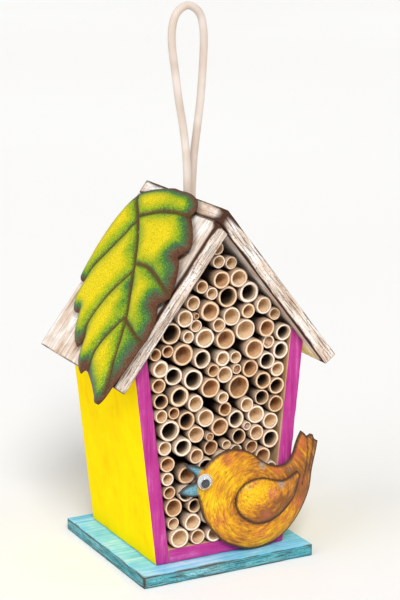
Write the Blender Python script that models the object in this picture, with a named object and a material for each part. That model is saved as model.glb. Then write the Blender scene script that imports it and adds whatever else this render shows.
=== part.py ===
"""Painted wooden insect hotel: a gabled box on a base board, filled with cut canes.

Metres, +Z up. The origin is the middle of the base board's underside, and the open
front faces -Y. A sheet metal leaf lies on the left roof board, a sheet metal bird
stands in front of the right wall, and a cotton cord loop comes out of the ridge.
"""
import math

import bmesh
import bpy
from mathutils import Matrix, Vector

MM = 0.001
FIT_GAP = 0.3 * MM                  # between pieces that touch

# Wooden house
BASE_WIDTH = 120 * MM
BASE_DEPTH = 117 * MM
BASE_THICKNESS = 8 * MM
FOOT_WIDTH = 90.8 * MM              # outside of both walls where they stand on the base
BODY_FRONT = -46 * MM
BODY_DEPTH = 95 * MM
WALL_THICKNESS = 9.5 * MM
WALL_LEAN = math.radians(6)         # the walls lean outwards from the base up
FLOOR_THICKNESS = 9 * MM
BACK_THICKNESS = 6 * MM
RIDGE_HEIGHT = 232 * MM
ROOF_PITCH = math.radians(52.5)
ROOF_THICKNESS = 9 * MM
ROOF_LENGTH = 127 * MM              # down each slope, from the ridge to the eave
ROOF_DEPTH = 112 * MM

# Canes
CANE_SIDES = 8
CANE_WALL_SHARE = 0.12              # wall of a cane as a share of its diameter
CANE_GAP = 0.3 * MM
CANE_RECESS = 0.5 * MM              # mouths sit this far behind the front on average
MOUTH_OFFSETS = (1.5, -0.5, 0.8, 2.2, 0.0, 1.0, -0.8)   # millimetres proud of that
MOUTH_STRIDE = 5                    # takes the offsets out of order from cane to cane
CANE_END = 4 * MM                   # least solid length behind a bore
CANE_ROLL = 2.5 * MM                # how far a cane rolls sideways as it settles
ROLL_STEPS = 10
ROLL_WEIGHT = 0.6                   # a cane rolls this much less willingly than it drops
SCALE_ROUNDS = 9                    # halvings in the search for the fullest pile
CANE_BUNDLES = 35
BUNDLE_LIMIT = 4                    # most canes glued together, unless that leaves too many
GLUE_WIDTH = 2 * MM
GLUE_LENGTH = 6 * MM
GLUE_BITE = 0.8 * MM                # how deep a bead of glue reaches into a cane's wall
GLUE_REACH = 3 * MM                 # widest gap that a bead of glue fills
GLUE_Y = -20 * MM
OPEN = 62 * MM                      # bore depth of a cane open far in
NODE = 12 * MM                      # bore depth down to a cane's own joint wall
PITH = 3 * MM                       # bore depth of a cane still full of pith

# Cord loop
CORD_DIAMETER = 5 * MM
CORD_STEP = 7 * MM
CORD_HOLE = (3 * MM, 0.5 * MM)      # X and Y of the hole through the ridge
CORD_HOLE_PLAY = 0.6 * MM
CORD_DRILL_START = 30 * MM          # the drill enters from this far under the ridge
CORD_DRILL_LENGTH = 45 * MM
KNOT_X = 2.2 * MM                   # the knot hangs nearer to the middle than the hole
KNOT_RADIUS = 6.8 * MM
KNOT_HEIGHT = 12 * MM
KNOT_TOP_RADIUS = 5.4 * MM

# Sheet metal leaf and bird
SHEET = 0.8 * MM
LEAF_LIFT = 3 * MM                  # underside of the leaf's rim above the roof board
LEAF_CROWN = 4 * MM
LEAF_CROWN_WIDTH = 14 * MM
BIRD_LIFT = 3.6 * MM                # back of the bird's rim in front of the body
BIRD_CROWN = 4 * MM
BIRD_CROWN_WIDTH = 13 * MM
WING_CROWN = 2.5 * MM
WING_CROWN_WIDTH = 9 * MM
PAD_RADIUS = 3 * MM
LEAF_PADS = ((12 * MM, 34 * MM), (-30 * MM, 76 * MM))   # across the board, down its slope
BIRD_FLOOR_PAD_X = 16 * MM
BIRD_WALL_PAD_Z = 42 * MM

# Wiggle eye
EYE_RADIUS = 5 * MM
EYE_BACK = 0.8 * MM
EYE_SHELL = 0.5 * MM
EYE_CENTRE = (-15.6 * MM, 61.5 * MM)
PUPIL_RADIUS = 2.9 * MM
PUPIL_THICKNESS = 0.7 * MM
PUPIL_DROP = 1.1 * MM               # the loose pupil lies this far below the eye's axis

# Fasteners
SCREW_HEAD_RADIUS = 3.4 * MM
SCREW_SHANK_RADIUS = 1.75 * MM
SCREW_LENGTH = 15 * MM
SCREW_SPACING = 40 * MM
SCREW_SINK = 0.4 * MM
NAIL_HEAD_RADIUS = 1.6 * MM
NAIL_HEAD_THICKNESS = 0.8 * MM
NAIL_SHANK_RADIUS = 0.8 * MM
NAIL_BITE = 7 * MM                  # how far a roof nail goes into the wall below
NAIL_SPACING = 36 * MM
NAIL_WALL_SHARE = 0.3               # place across the wall, from its outer face

# Each cane: place across the cavity (-1 at the left wall, 1 at the right one), outer
# diameter in millimetres and bore depth, from the bottom of the pile to its top.
CANES = [
    (-0.80, 13.0, NODE), (-0.44, 10.0, NODE), (-0.15, 10.5, NODE), (0.14, 12.0, NODE),
    (0.44, 11.0, OPEN), (0.73, 11.5, NODE),
    (-0.89, 8.0, NODE), (-0.58, 11.5, NODE), (-0.30, 11.0, NODE), (0.00, 11.0, OPEN),
    (0.28, 12.0, NODE), (0.57, 11.5, NODE), (0.86, 10.5, NODE),
    (-0.83, 12.0, NODE), (-0.48, 9.5, OPEN), (-0.22, 11.0, NODE), (0.06, 11.0, NODE),
    (0.36, 12.0, OPEN), (0.66, 11.5, NODE), (0.90, 8.5, NODE),
    (-0.89, 8.5, NODE), (-0.61, 11.0, OPEN), (-0.34, 10.5, OPEN), (-0.08, 10.5, NODE),
    (0.18, 11.0, NODE), (0.46, 11.0, NODE), (0.74, 11.5, NODE),
    (-0.91, 8.5, NODE), (-0.58, 12.0, NODE), (-0.25, 11.5, OPEN), (0.04, 11.0, NODE),
    (0.32, 9.5, NODE), (0.58, 9.0, NODE), (0.84, 12.0, OPEN), (-0.87, 10.0, NODE),
    (0.59, 10.0, NODE), (0.29, 10.0, OPEN), (-0.35, 10.0, NODE), (-0.09, 10.0, NODE),
    (-0.88, 9.5, NODE), (0.82, 11.0, NODE), (0.45, 5.5, PITH), (-0.61, 12.0, OPEN),
    (0.09, 6.5, NODE), (-0.19, 5.5, PITH), (-0.36, 11.0, NODE), (0.28, 11.5, OPEN),
    (0.61, 12.0, NODE), (-0.02, 12.0, NODE), (-0.80, 13.5, OPEN), (0.87, 11.0, NODE),
    (0.40, 9.5, NODE), (-0.50, 12.0, OPEN), (0.14, 9.5, NODE), (0.66, 10.0, OPEN),
    (-0.21, 11.5, NODE), (-0.92, 8.5, NODE), (-0.72, 8.0, NODE), (0.02, 8.0, NODE),
    (0.87, 11.0, OPEN), (-0.37, 11.0, NODE), (0.28, 15.0, NODE), (0.64, 11.5, OPEN),
    (-0.90, 10.0, OPEN), (-0.10, 13.0, NODE), (-0.62, 13.0, OPEN), (0.87, 10.0, NODE),
    (0.42, 11.5, NODE), (0.11, 11.0, NODE), (-0.38, 13.5, OPEN), (0.65, 11.0, OPEN),
    (-0.90, 9.5, NODE), (-0.10, 8.5, NODE), (0.24, 6.5, PITH), (-0.66, 12.0, OPEN),
    (0.87, 11.5, OPEN), (0.03, 10.0, NODE), (0.48, 13.5, NODE), (-0.21, 12.0, OPEN),
    (-0.85, 11.0, NODE), (0.73, 8.5, PITH), (0.23, 8.0, NODE), (-0.47, 14.0, NODE),
    (-0.68, 8.0, NODE), (-0.88, 8.0, NODE), (0.89, 11.0, OPEN), (0.63, 11.5, NODE),
    (0.08, 13.5, NODE), (-0.20, 13.0, NODE), (0.35, 13.5, NODE), (-0.67, 13.5, OPEN),
    (-0.44, 8.0, NODE), (0.77, 8.0, NODE), (-0.06, 9.0, NODE), (0.39, 9.5, NODE),
    (0.17, 12.0, NODE), (-0.32, 8.0, NODE), (0.58, 11.0, NODE), (-0.50, 11.0, NODE),
    (-0.32, 4.0, PITH), (-0.16, 13.0, NODE), (0.39, 13.5, OPEN), (0.11, 13.5, OPEN),
    (-0.33, 9.5, NODE), (-0.11, 8.0, NODE), (0.24, 12.0, NODE), (-0.19, 8.5, NODE),
    (0.01, 11.5, NODE), (0.15, 8.0, NODE), (0.04, 8.5, NODE), (-0.03, 8.5, NODE),
]

# Leaf outline in millimetres: (across the roof board, down its slope).
LEAF_OUTLINE = [
    (1, 0), (-9.5, -0.5), (-18, 0.5), (-25.5, 3.5), (-29, 8), (-28, 11), (-27, 13.5),
    (-32, 16), (-39.5, 21.5), (-45, 26), (-48.5, 32), (-45, 36), (-41.5, 39.5),
    (-46, 42.5), (-52, 49.5), (-57, 57), (-60, 64.5), (-55.5, 68), (-52.5, 71),
    (-54, 73), (-59, 78.5), (-62.5, 86), (-64, 92.5), (-63, 97), (-62, 115),
    (-60, 125), (-58.5, 137), (-56.5, 140.5), (-52, 140.5), (-46.5, 137),
    (-36.5, 132.5), (-24.5, 127), (-20.5, 126), (-18, 130), (-12.5, 128), (-5, 122.5),
    (-0.5, 115.5), (2, 111.5), (4, 117), (9, 115.5), (16.5, 111), (23, 103.5),
    (26.5, 97.5), (31.5, 98.5), (36.5, 97), (42, 89.5), (44, 83), (44.5, 78.5),
    (48.5, 79), (52.5, 77), (54, 69), (55, 58), (55.5, 46), (54.5, 35), (52.5, 24.5),
    (50, 17), (46, 11.5), (37, 7), (21, 2.5), (9.5, 0),
]

# Bird outline in millimetres: (across, height), from the lower beak clockwise.
BIRD_OUTLINE = [
    (-18, 51), (-24, 51.5), (-32, 55), (-27, 58.5), (-19.5, 60.5), (-20, 64),
    (-24, 68.5), (-28, 73.5), (-22, 72), (-14, 69), (-9, 73), (-2.5, 76.5),
    (4.5, 78), (11.5, 77), (19, 74), (24.5, 69.5), (29, 66), (34.5, 63), (41, 62),
    (46, 63.5), (49, 67.5), (51.5, 74.5), (54, 80), (55.5, 82.5), (58, 80.5),
    (60, 78), (62.5, 79.5), (64.5, 78.5), (65.5, 75.5), (68, 74), (67, 68.5),
    (64, 55.5), (62, 42.5), (57, 31), (51, 22.5), (42, 14.5), (32, 10.5), (19, 9.5),
    (9, 12.5), (-1, 18.5), (-8, 26), (-14, 35.5), (-16.5, 44),
]
WING_OUTLINE = [
    (14.5, 56.5), (19, 57.5), (26, 57.5), (33, 55), (40.5, 53.5), (46, 56), (50.5, 58),
    (52.5, 55), (50.5, 48.5), (48, 41), (42.5, 34.5), (35.5, 29.5), (28, 27),
    (21, 27.5), (13.5, 31.5), (8, 37), (5.5, 45), (7, 50.5), (10, 54),
]

# Cord loop in millimetres: the knot's top stands in for the height of both ends.
CORD_ROUTE = [
    (0, -0.8, 207), (0, -0.8, 210.5), (0.5, -0.8, 222), (0.7, -0.8, 236), (0.3, -0.5, 255),
    (-1.4, 0, 273), (-4.3, 0.5, 291.5), (-6.5, 0.5, 308), (-8.8, 0.5, 326), (-8.2, 0.5, 338),
    (-4.7, 0.5, 346), (2.5, 0.5, 349.6), (9.6, 0.5, 345.5), (12.5, 0.5, 338), (13.3, 0.5, 326),
    (12.2, 0.5, 307), (10.8, 0.5, 291), (8.5, 0.8, 273), (6.5, 1.4, 256), (5.3, 1.8, 236),
    (5.1, 1.8, 222), (4.6, 1.8, 210.5), (4.6, 1.8, 207),
]


def finish(name, bm, material):
    """Turn a bmesh into a named object with smooth round faces and one material."""
    bmesh.ops.recalc_face_normals(bm, faces=bm.faces[:])
    mesh = bpy.data.meshes.new(name)
    bm.to_mesh(mesh)
    bm.free()
    mesh.shade_smooth()
    mesh.set_sharp_from_angle(angle=math.radians(35))
    obj = bpy.data.objects.new(name, mesh)
    bpy.context.scene.collection.objects.link(obj)
    if material is not None:
        mesh.materials.append(material)
    return obj


def make_material(name, colour, roughness, metallic=0.0):
    material = bpy.data.materials.new(name)
    material.use_nodes = True
    shader = material.node_tree.nodes["Principled BSDF"]
    shader.inputs["Base Color"].default_value = (*colour, 1.0)
    shader.inputs["Roughness"].default_value = roughness
    shader.inputs["Metallic"].default_value = metallic
    return material


def prism(name, outline, y_front, y_back, material):
    """A board whose outline lies in XZ, between two Y planes."""
    bm = bmesh.new()
    face = bm.faces.new([bm.verts.new((x, y_front, z)) for x, z in outline])
    made = bmesh.ops.extrude_face_region(bm, geom=[face])
    moved = [v for v in made["geom"] if isinstance(v, bmesh.types.BMVert)]
    bmesh.ops.translate(bm, verts=moved, vec=(0, y_back - y_front, 0))
    return finish(name, bm, material)


def add_turned(bm, profile, frame, sides):
    """Turn a profile of (radius, along) about the Z axis of a frame.

    A profile that starts and ends on the axis makes a plain solid, and any other one is
    closed into a loop first.
    """
    verts = [bm.verts.new((r, 0, h)) for r, h in profile]
    ends = list(zip(verts, verts[1:]))
    if profile[0][0] or profile[-1][0]:
        ends.append((verts[-1], verts[0]))
    edges = [bm.edges.new(pair) for pair in ends]
    made = bmesh.ops.spin(bm, geom=verts + edges, cent=(0, 0, 0), axis=(0, 0, 1),
                          angle=2 * math.pi, steps=sides, use_merge=True)
    ring = {v for v in verts if v.is_valid}
    ring.update(v for e in made["geom_last"] for v in getattr(e, "verts", [e]) if v.is_valid)
    turned = set()
    frontier = list(ring)
    while frontier:
        vert = frontier.pop()
        if vert not in turned:
            turned.add(vert)
            frontier.extend(e.other_vert(vert) for e in vert.link_edges)
    turned = list(turned)
    bmesh.ops.remove_doubles(bm, verts=turned, dist=0.01 * MM)
    turned = [v for v in turned if v.is_valid]
    bmesh.ops.transform(bm, matrix=frame, verts=turned)


def turned(name, profile, frame, material, sides):
    bm = bmesh.new()
    add_turned(bm, profile, frame, sides)
    return finish(name, bm, material)


def along_axis(origin, direction):
    """A frame whose Z axis points along a direction."""
    turn = Vector(direction).to_track_quat("Z", "Y").to_matrix().to_4x4()
    return Matrix.Translation(origin) @ turn


def boolean(obj, operation, cutter):
    cutter.hide_render = True
    cutter.display_type = "WIRE"
    cutter.parent = obj
    modifier = obj.modifiers.new(cutter.name, "BOOLEAN")
    modifier.operation = operation
    modifier.solver = "EXACT"
    modifier.object = cutter


# The house

FLOOR_TOP = BASE_THICKNESS + FIT_GAP + FLOOR_THICKNESS
BODY_BACK = BODY_FRONT + BODY_DEPTH
BACK_FRONT = BODY_BACK - BACK_THICKNESS
UNDER_RIDGE = RIDGE_HEIGHT - ROOF_THICKNESS / math.cos(ROOF_PITCH)
KNOT_TOP = UNDER_RIDGE - (KNOT_X + KNOT_TOP_RADIUS + 2 * FIT_GAP) * math.tan(ROOF_PITCH)
KNOT_BOTTOM = KNOT_TOP - KNOT_HEIGHT
DOWN_LEFT = Vector((-math.cos(ROOF_PITCH), 0, -math.sin(ROOF_PITCH)))
OUT_LEFT = Vector((-math.sin(ROOF_PITCH), 0, math.cos(ROOF_PITCH)))


def outer_half_width(z):
    return FOOT_WIDTH / 2 + (z - BASE_THICKNESS) * math.tan(WALL_LEAN)


def inner_half_width(z):
    return outer_half_width(z) - WALL_THICKNESS / math.cos(WALL_LEAN)


def under_roof(x, clear=0.0):
    """Height of the roof boards' underside, less a clear distance square to it."""
    return UNDER_RIDGE - clear / math.cos(ROOF_PITCH) - abs(x) * math.tan(ROOF_PITCH)


def meets_roof(half_width, clear):
    """Where a leaning face, given by its half width at a height, reaches the roof."""
    start = half_width(0.0)
    height = under_roof(0.0, clear) - start * math.tan(ROOF_PITCH)
    height /= 1 + math.tan(WALL_LEAN) * math.tan(ROOF_PITCH)
    return half_width(height), height


def make_base(paint):
    half = BASE_WIDTH / 2
    outline = [(-half, 0), (half, 0), (half, BASE_THICKNESS), (-half, BASE_THICKNESS)]
    return prism("base_board", outline, -BASE_DEPTH / 2, BASE_DEPTH / 2, paint)


def make_floor(paint):
    low = BASE_THICKNESS + FIT_GAP
    half_low = inner_half_width(low) - FIT_GAP
    half_high = inner_half_width(FLOOR_TOP) - FIT_GAP
    outline = [(-half_low, low), (half_low, low), (half_high, FLOOR_TOP), (-half_high, FLOOR_TOP)]
    return prism("floor_board", outline, BODY_FRONT, BODY_BACK, paint)


def make_wall(name, side, paint):
    low = BASE_THICKNESS + FIT_GAP
    outline = [(outer_half_width(low), low), meets_roof(outer_half_width, FIT_GAP),
               meets_roof(inner_half_width, FIT_GAP), (inner_half_width(low), low)]
    outline = [(side * x, z) for x, z in outline]
    return prism(name, outline, BODY_FRONT, BODY_BACK, paint)


def make_back(paint):
    low = FLOOR_TOP + FIT_GAP

    def half_width(z):
        return inner_half_width(z) - FIT_GAP

    corner_x, corner_z = meets_roof(half_width, FIT_GAP)
    outline = [(-half_width(low), low), (half_width(low), low), (corner_x, corner_z),
               (0, under_roof(0, FIT_GAP)), (-corner_x, corner_z)]
    return prism("back_panel", outline, BACK_FRONT, BODY_BACK, paint)


def roof_point(side, down, depth):
    """A point of a roof board: down its slope and under its top surface."""
    point = Vector((0, 0, RIDGE_HEIGHT)) + DOWN_LEFT * down - OUT_LEFT * depth
    return -side * point.x, point.z


def make_roof(paint):
    """The right board runs up to the ridge, and the left one butts under it."""
    ridge_x = -ROOF_THICKNESS / (2 * math.sin(ROOF_PITCH))
    ridge_z = RIDGE_HEIGHT + ridge_x * math.tan(ROOF_PITCH)
    right = [(0, RIDGE_HEIGHT), roof_point(1, ROOF_LENGTH, 0),
             roof_point(1, ROOF_LENGTH, ROOF_THICKNESS), (ridge_x, ridge_z)]
    butt_x = -(ROOF_THICKNESS + FIT_GAP) / (2 * math.sin(ROOF_PITCH))
    foot_x = -FIT_GAP / (2 * math.sin(ROOF_PITCH))
    left = [(butt_x, RIDGE_HEIGHT + butt_x * math.tan(ROOF_PITCH)),
            roof_point(-1, ROOF_LENGTH, 0), roof_point(-1, ROOF_LENGTH, ROOF_THICKNESS),
            (foot_x, under_roof(foot_x))]
    half = ROOF_DEPTH / 2
    boards = (prism("roof_board_left", left, -half, half, paint),
              prism("roof_board_right", right, -half, half, paint))
    hole = CORD_DIAMETER + FIT_GAP / 2 + CORD_HOLE_PLAY
    frame = Matrix.Translation((*CORD_HOLE, RIDGE_HEIGHT - CORD_DRILL_START))
    bore = [(0, 0), (hole, 0), (hole, CORD_DRILL_LENGTH), (0, CORD_DRILL_LENGTH)]
    for board in boards:
        drill = turned(board.name + "_cord_hole", bore, frame, None, 20)
        boolean(board, "DIFFERENCE", drill)
    return boards


# Fasteners

def screw_profile(grow=0.0):
    """Countersunk screw, point up, from its head's face at 0."""
    head, shank = SCREW_HEAD_RADIUS + grow, SCREW_SHANK_RADIUS + grow
    slope = SCREW_HEAD_RADIUS - SCREW_SHANK_RADIUS
    start = -SCREW_SINK - FIT_GAP if grow else 0.0
    return [(0, start), (head, start), (head, 0.3 * MM), (shank, 0.3 * MM + slope),
            (shank, SCREW_LENGTH - 2 * MM), (0.4 * MM + grow, SCREW_LENGTH + grow),
            (0, SCREW_LENGTH + grow)]


def make_screws(steel, base, floor):
    """Two screws come up through the base board into the floor board."""
    middle = (BODY_FRONT + BODY_BACK) / 2
    for number, side in enumerate((-1, 1), 1):
        frame = Matrix.Translation((side * SCREW_SPACING / 2, middle, SCREW_SINK))
        name = f"base_screw_{number}"
        turned(name, screw_profile(), frame, steel, 12)
        for board in (base, floor):
            cutter = turned(f"{name}_hole_in_{board.name}", screw_profile(FIT_GAP), frame, None, 12)
            boolean(board, "DIFFERENCE", cutter)


def nail_profile(grow=0.0):
    """Round-headed nail, point down, from its head's underside at 0."""
    shank = NAIL_SHANK_RADIUS + grow
    length = ROOF_THICKNESS + NAIL_BITE + grow
    if grow:
        return [(0, NAIL_HEAD_THICKNESS), (shank, NAIL_HEAD_THICKNESS), (shank, -length), (0, -length)]
    head = NAIL_HEAD_RADIUS
    return [(0, NAIL_HEAD_THICKNESS), (0.7 * head, NAIL_HEAD_THICKNESS), (head, NAIL_HEAD_THICKNESS / 2),
            (head, 0), (shank, 0), (shank, -length + 2 * MM), (0, -length)]


def make_nails(steel, boards, walls):
    """Two nails hold each roof board to the top of its wall."""
    outer = meets_roof(outer_half_width, FIT_GAP)[0]
    inner = meets_roof(inner_half_width, FIT_GAP)[0]
    half_width = outer + (inner - outer) * NAIL_WALL_SHARE
    down = (half_width + ROOF_THICKNESS * math.sin(ROOF_PITCH)) / math.cos(ROOF_PITCH)
    for side, board, wall in ((-1, boards[0], walls[0]), (1, boards[1], walls[1])):
        x, z = roof_point(side, down, -FIT_GAP)
        out = Vector((side * math.sin(ROOF_PITCH), 0, math.cos(ROOF_PITCH)))
        for place, y_side in (("front", -1), ("rear", 1)):
            y = (BODY_FRONT + BODY_BACK) / 2 + y_side * NAIL_SPACING / 2
            frame = along_axis((x, y, z), out)
            label = "left" if side < 0 else "right"
            name = f"roof_nail_{label}_{place}"
            turned(name, nail_profile(), frame, steel, 10)
            for piece in (board, wall):
                cutter = turned(f"{name}_hole_in_{piece.name}", nail_profile(FIT_GAP), frame, None, 10)
                boolean(piece, "DIFFERENCE", cutter)


# Canes

def settle(canes, scale):
    """Let each cane down near its place until it rests; None if one meets the roof."""
    placed = []
    lean = math.cos(WALL_LEAN)
    for across, diameter, depth in canes:
        radius = diameter * MM * scale / 2
        best = None
        height = placed[-1][1] if placed else FLOOR_TOP
        wanted = across * inner_half_width(height)
        for step in range(-ROLL_STEPS, ROLL_STEPS + 1):
            x = wanted + CANE_ROLL * step / ROLL_STEPS
            z = FLOOR_TOP + CANE_GAP + radius
            side_room = abs(x) + (radius + CANE_GAP) / lean - inner_half_width(0.0)
            z = max(z, side_room / math.tan(WALL_LEAN))
            for other_x, other_z, other_radius, _ in placed:
                reach = radius + other_radius + CANE_GAP
                if abs(x - other_x) < reach:
                    z = max(z, other_z + math.sqrt(reach ** 2 - (x - other_x) ** 2))
            if z > under_roof(x, radius + CANE_GAP):
                continue
            cost = z + ROLL_WEIGHT * abs(x - wanted)
            if best is None or cost < best[0]:
                best = (cost, x, z)
        if best is None:
            return None
        placed.append((best[1], best[2], radius, depth))
    return placed


def pile_canes():
    """Settle the canes at the largest scale at which the pile still clears the roof."""
    low, high = 0.5, 1.5
    best = settle(CANES, low)
    for _ in range(SCALE_ROUNDS):
        middle = (low + high) / 2
        pile = settle(CANES, middle)
        if pile:
            low, best = middle, pile
        else:
            high = middle
    return best


def bead_is_clear(a, b, pile):
    """Whether a bead of glue between two canes misses every other cane."""
    share = (a[2] + (math.hypot(a[0] - b[0], a[1] - b[1]) - a[2] - b[2]) / 2)
    share /= math.hypot(a[0] - b[0], a[1] - b[1])
    x, z = a[0] + (b[0] - a[0]) * share, a[1] + (b[1] - a[1]) * share
    room = GLUE_WIDTH / 2 + CANE_GAP
    return all(math.hypot(x - c[0], z - c[1]) > c[2] + room for c in pile if c is not a and c is not b)


def bundle_canes(pile):
    """Glue neighbours together, closest first, until CANE_BUNDLES groups are left."""
    pairs = []
    for i, a in enumerate(pile):
        for j, b in enumerate(pile[:i]):
            gap = math.hypot(a[0] - b[0], a[1] - b[1]) - a[2] - b[2]
            if gap < GLUE_REACH and bead_is_clear(a, b, pile):
                pairs.append((round(gap, 7), i, j))
    pairs.sort()
    group = {i: [i] for i in range(len(pile))}
    beads = {}
    joins_left = len(pile) - CANE_BUNDLES
    for limit in (BUNDLE_LIMIT, BUNDLE_LIMIT + 1, BUNDLE_LIMIT + 2):
        for gap, i, j in pairs:
            left, right = group[i], group[j]
            if joins_left == 0 or left is right or len(left) + len(right) > limit:
                continue
            left.extend(right)
            for k in right:
                group[k] = left
            beads.setdefault(id(left), []).extend(beads.pop(id(right), []) + [(i, j)])
            joins_left -= 1
    unique = {id(g): g for g in group.values()}
    ordered = sorted(unique.values(), key=min)
    return [(sorted(g), beads.get(id(g), [])) for g in ordered]


def cane_back(x, z, radius):
    """Canes reach the back panel, but the ones at the cord's knot stop in front of it."""
    under_knot = KNOT_BOTTOM - FIT_GAP
    if z + radius > under_knot and abs(x - KNOT_X) < radius + KNOT_RADIUS + FIT_GAP:
        return CORD_HOLE[1] - KNOT_RADIUS - 2 * FIT_GAP
    return BACK_FRONT - FIT_GAP


def mouth_offset(number):
    """Some canes stand a little proud of the front and some are set back."""
    return MOUTH_OFFSETS[number * MOUTH_STRIDE % len(MOUTH_OFFSETS)] * MM


def make_canes(cane_colour):
    pile = pile_canes()
    for number, (members, joints) in enumerate(bundle_canes(pile), 1):
        name = f"cane_bundle_{number:02d}"
        bm = bmesh.new()
        for i in members:
            x, z, radius, depth = pile[i]
            mouth = BODY_FRONT + CANE_RECESS - mouth_offset(i)
            bore = radius * (1 - 2 * CANE_WALL_SHARE)
            length = cane_back(x, z, radius) - mouth
            depth = min(depth, length - CANE_END)
            profile = [(0, depth), (bore, depth), (bore, 0), (radius, 0), (radius, length), (0, length)]
            add_turned(bm, profile, along_axis((x, mouth, z), (0, 1, 0)), CANE_SIDES)
        bundle = finish(name, bm, cane_colour)
        if joints:
            boolean(bundle, "UNION", make_glue(name + "_glue", pile, joints))


def make_glue(name, pile, joints):
    """Beads of glue between neighbouring canes, some way behind their mouths."""
    bm = bmesh.new()
    for i, j in joints:
        a, b = pile[i], pile[j]
        line = Vector((b[0] - a[0], 0, b[1] - a[1])).normalized()
        start = Vector((a[0], GLUE_Y, a[1])) + line * (a[2] - GLUE_BITE)
        end = Vector((b[0], GLUE_Y, b[1])) - line * (b[2] - GLUE_BITE)
        size = (GLUE_WIDTH, GLUE_LENGTH, (end - start).length)
        along = Vector((0, 1, 0))
        turn = Matrix((along.cross(line), along, line)).transposed().to_4x4()
        frame = Matrix.Translation((start + end) / 2) @ turn @ Matrix.Diagonal((*size, 1))
        bmesh.ops.create_cube(bm, size=1.0, matrix=frame)
    return finish(name, bm, None)


# Cord

def smooth_route(points, step):
    """Points about one step apart on a smooth curve through the given ones."""
    fine = []
    padded = [2 * points[0] - points[1], *points, 2 * points[-1] - points[-2]]
    divisions = 24
    for p0, p1, p2, p3 in zip(padded, padded[1:], padded[2:], padded[3:]):
        for k in range(divisions):
            t = k / divisions
            fine.append(0.5 * (2 * p1 + (p2 - p0) * t + (2 * p0 - 5 * p1 + 4 * p2 - p3) * t ** 2
                               + (3 * p1 - p0 - 3 * p2 + p3) * t ** 3))
    fine.append(points[-1])
    total = sum((b - a).length for a, b in zip(fine, fine[1:]))
    count = round(total / step)
    route, walked, wanted = [fine[0]], 0.0, total / count
    for a, b in zip(fine, fine[1:]):
        length = (b - a).length
        while walked + length >= wanted and len(route) < count:
            route.append(a.lerp(b, (wanted - walked) / length))
            wanted += total / count
        walked += length
    return route + [fine[-1]]


def make_cord(cotton):
    knot_low = KNOT_HEIGHT / 2
    profile = [(0, -knot_low), (0.6 * KNOT_RADIUS, -knot_low), (KNOT_RADIUS, -knot_low / 2),
               (KNOT_RADIUS, 0), (KNOT_TOP_RADIUS, knot_low), (0, knot_low)]
    centre = (KNOT_X, CORD_HOLE[1], KNOT_TOP - knot_low)
    turned("cord_knot", profile, Matrix.Translation(centre), cotton, 16)
    points = [Vector(place) * MM for place in CORD_ROUTE]
    points[0].z = points[-1].z = KNOT_TOP + 2 * FIT_GAP
    route = smooth_route(points, CORD_STEP)
    curve = bpy.data.curves.new("cord_loop", "CURVE")
    curve.dimensions = "3D"
    curve.resolution_u = 1
    curve.render_resolution_u = 0
    curve.bevel_depth = CORD_DIAMETER / 2
    curve.bevel_resolution = 3
    curve.use_fill_caps = True
    spline = curve.splines.new("POLY")
    spline.points.add(len(route) - 1)
    for point, place in zip(spline.points, route):
        point.co = (*place, 1)
    spline.use_smooth = True
    curve.materials.append(cotton)
    obj = bpy.data.objects.new("cord_loop", curve)
    bpy.context.scene.collection.objects.link(obj)
    return obj


# Sheet metal

def rim_distance(x, y, outline):
    """Distance from a point to the nearest edge of an outline."""
    nearest = math.inf
    for (ax, ay), (bx, by) in zip(outline, outline[1:] + outline[:1]):
        dx, dy = bx - ax, by - ay
        t = max(0.0, min(1.0, ((x - ax) * dx + (y - ay) * dy) / (dx * dx + dy * dy)))
        nearest = min(nearest, math.hypot(x - ax - t * dx, y - ay - t * dy))
    return nearest


def crown_height(x, y, outline, crown, width):
    """Height that an embossed sheet rises above its rim."""
    inwards = min(1.0, rim_distance(x, y, outline) / width)
    return crown * (1 - (1 - inwards) ** 2)


def sheet(name, outline, height, frame, spacing, material):
    """An embossed sheet: its back lies at height(x, y) in a frame, SHEET thick."""
    bm = bmesh.new()
    bm.faces.new([bm.verts.new((x, y, 0)) for x, y in outline])
    bmesh.ops.recalc_face_normals(bm, faces=bm.faces[:])
    if bm.faces[:][0].normal.z < 0:
        bmesh.ops.reverse_faces(bm, faces=bm.faces[:])
    for axis in (0, 1):
        low = min(p[axis] for p in outline)
        high = max(p[axis] for p in outline)
        count = math.ceil((high - low) / spacing)
        for k in range(1, count):
            place, normal = [0, 0, 0], [0, 0, 0]
            place[axis] = low + (high - low) * k / count
            normal[axis] = 1
            bmesh.ops.bisect_plane(bm, geom=bm.verts[:] + bm.edges[:] + bm.faces[:],
                                   dist=0.05 * MM, plane_co=place, plane_no=normal)
    bmesh.ops.triangulate(bm, faces=bm.faces[:])
    front = bmesh.ops.duplicate(bm, geom=bm.verts[:] + bm.edges[:] + bm.faces[:])["geom"]
    raised = {v for v in front if isinstance(v, bmesh.types.BMVert)}
    for vert in bm.verts:
        vert.co.z = height(vert.co.x, vert.co.y) + (SHEET if vert in raised else 0)
    rims = [edge for edge in bm.edges if edge.is_boundary]
    bmesh.ops.bridge_loops(bm, edges=rims)
    bmesh.ops.transform(bm, matrix=frame, verts=bm.verts[:])
    return finish(name, bm, material)


def scaled(outline):
    return [(x * MM, y * MM) for x, y in outline]


def make_leaf(paint, glue):
    across = Vector((0, 1, 0))
    frame = Matrix((across, DOWN_LEFT, OUT_LEFT)).transposed().to_4x4()
    frame.translation = (0, 0, RIDGE_HEIGHT)
    outline = scaled(LEAF_OUTLINE)

    def height(x, y):
        return LEAF_LIFT + crown_height(x, y, outline, LEAF_CROWN, LEAF_CROWN_WIDTH)

    sheet("leaf", outline, height, frame, 8 * MM, paint)
    for number, place in enumerate(LEAF_PADS, 1):
        make_pad(f"leaf_glue_{number}", place, height, frame, glue)


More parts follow.
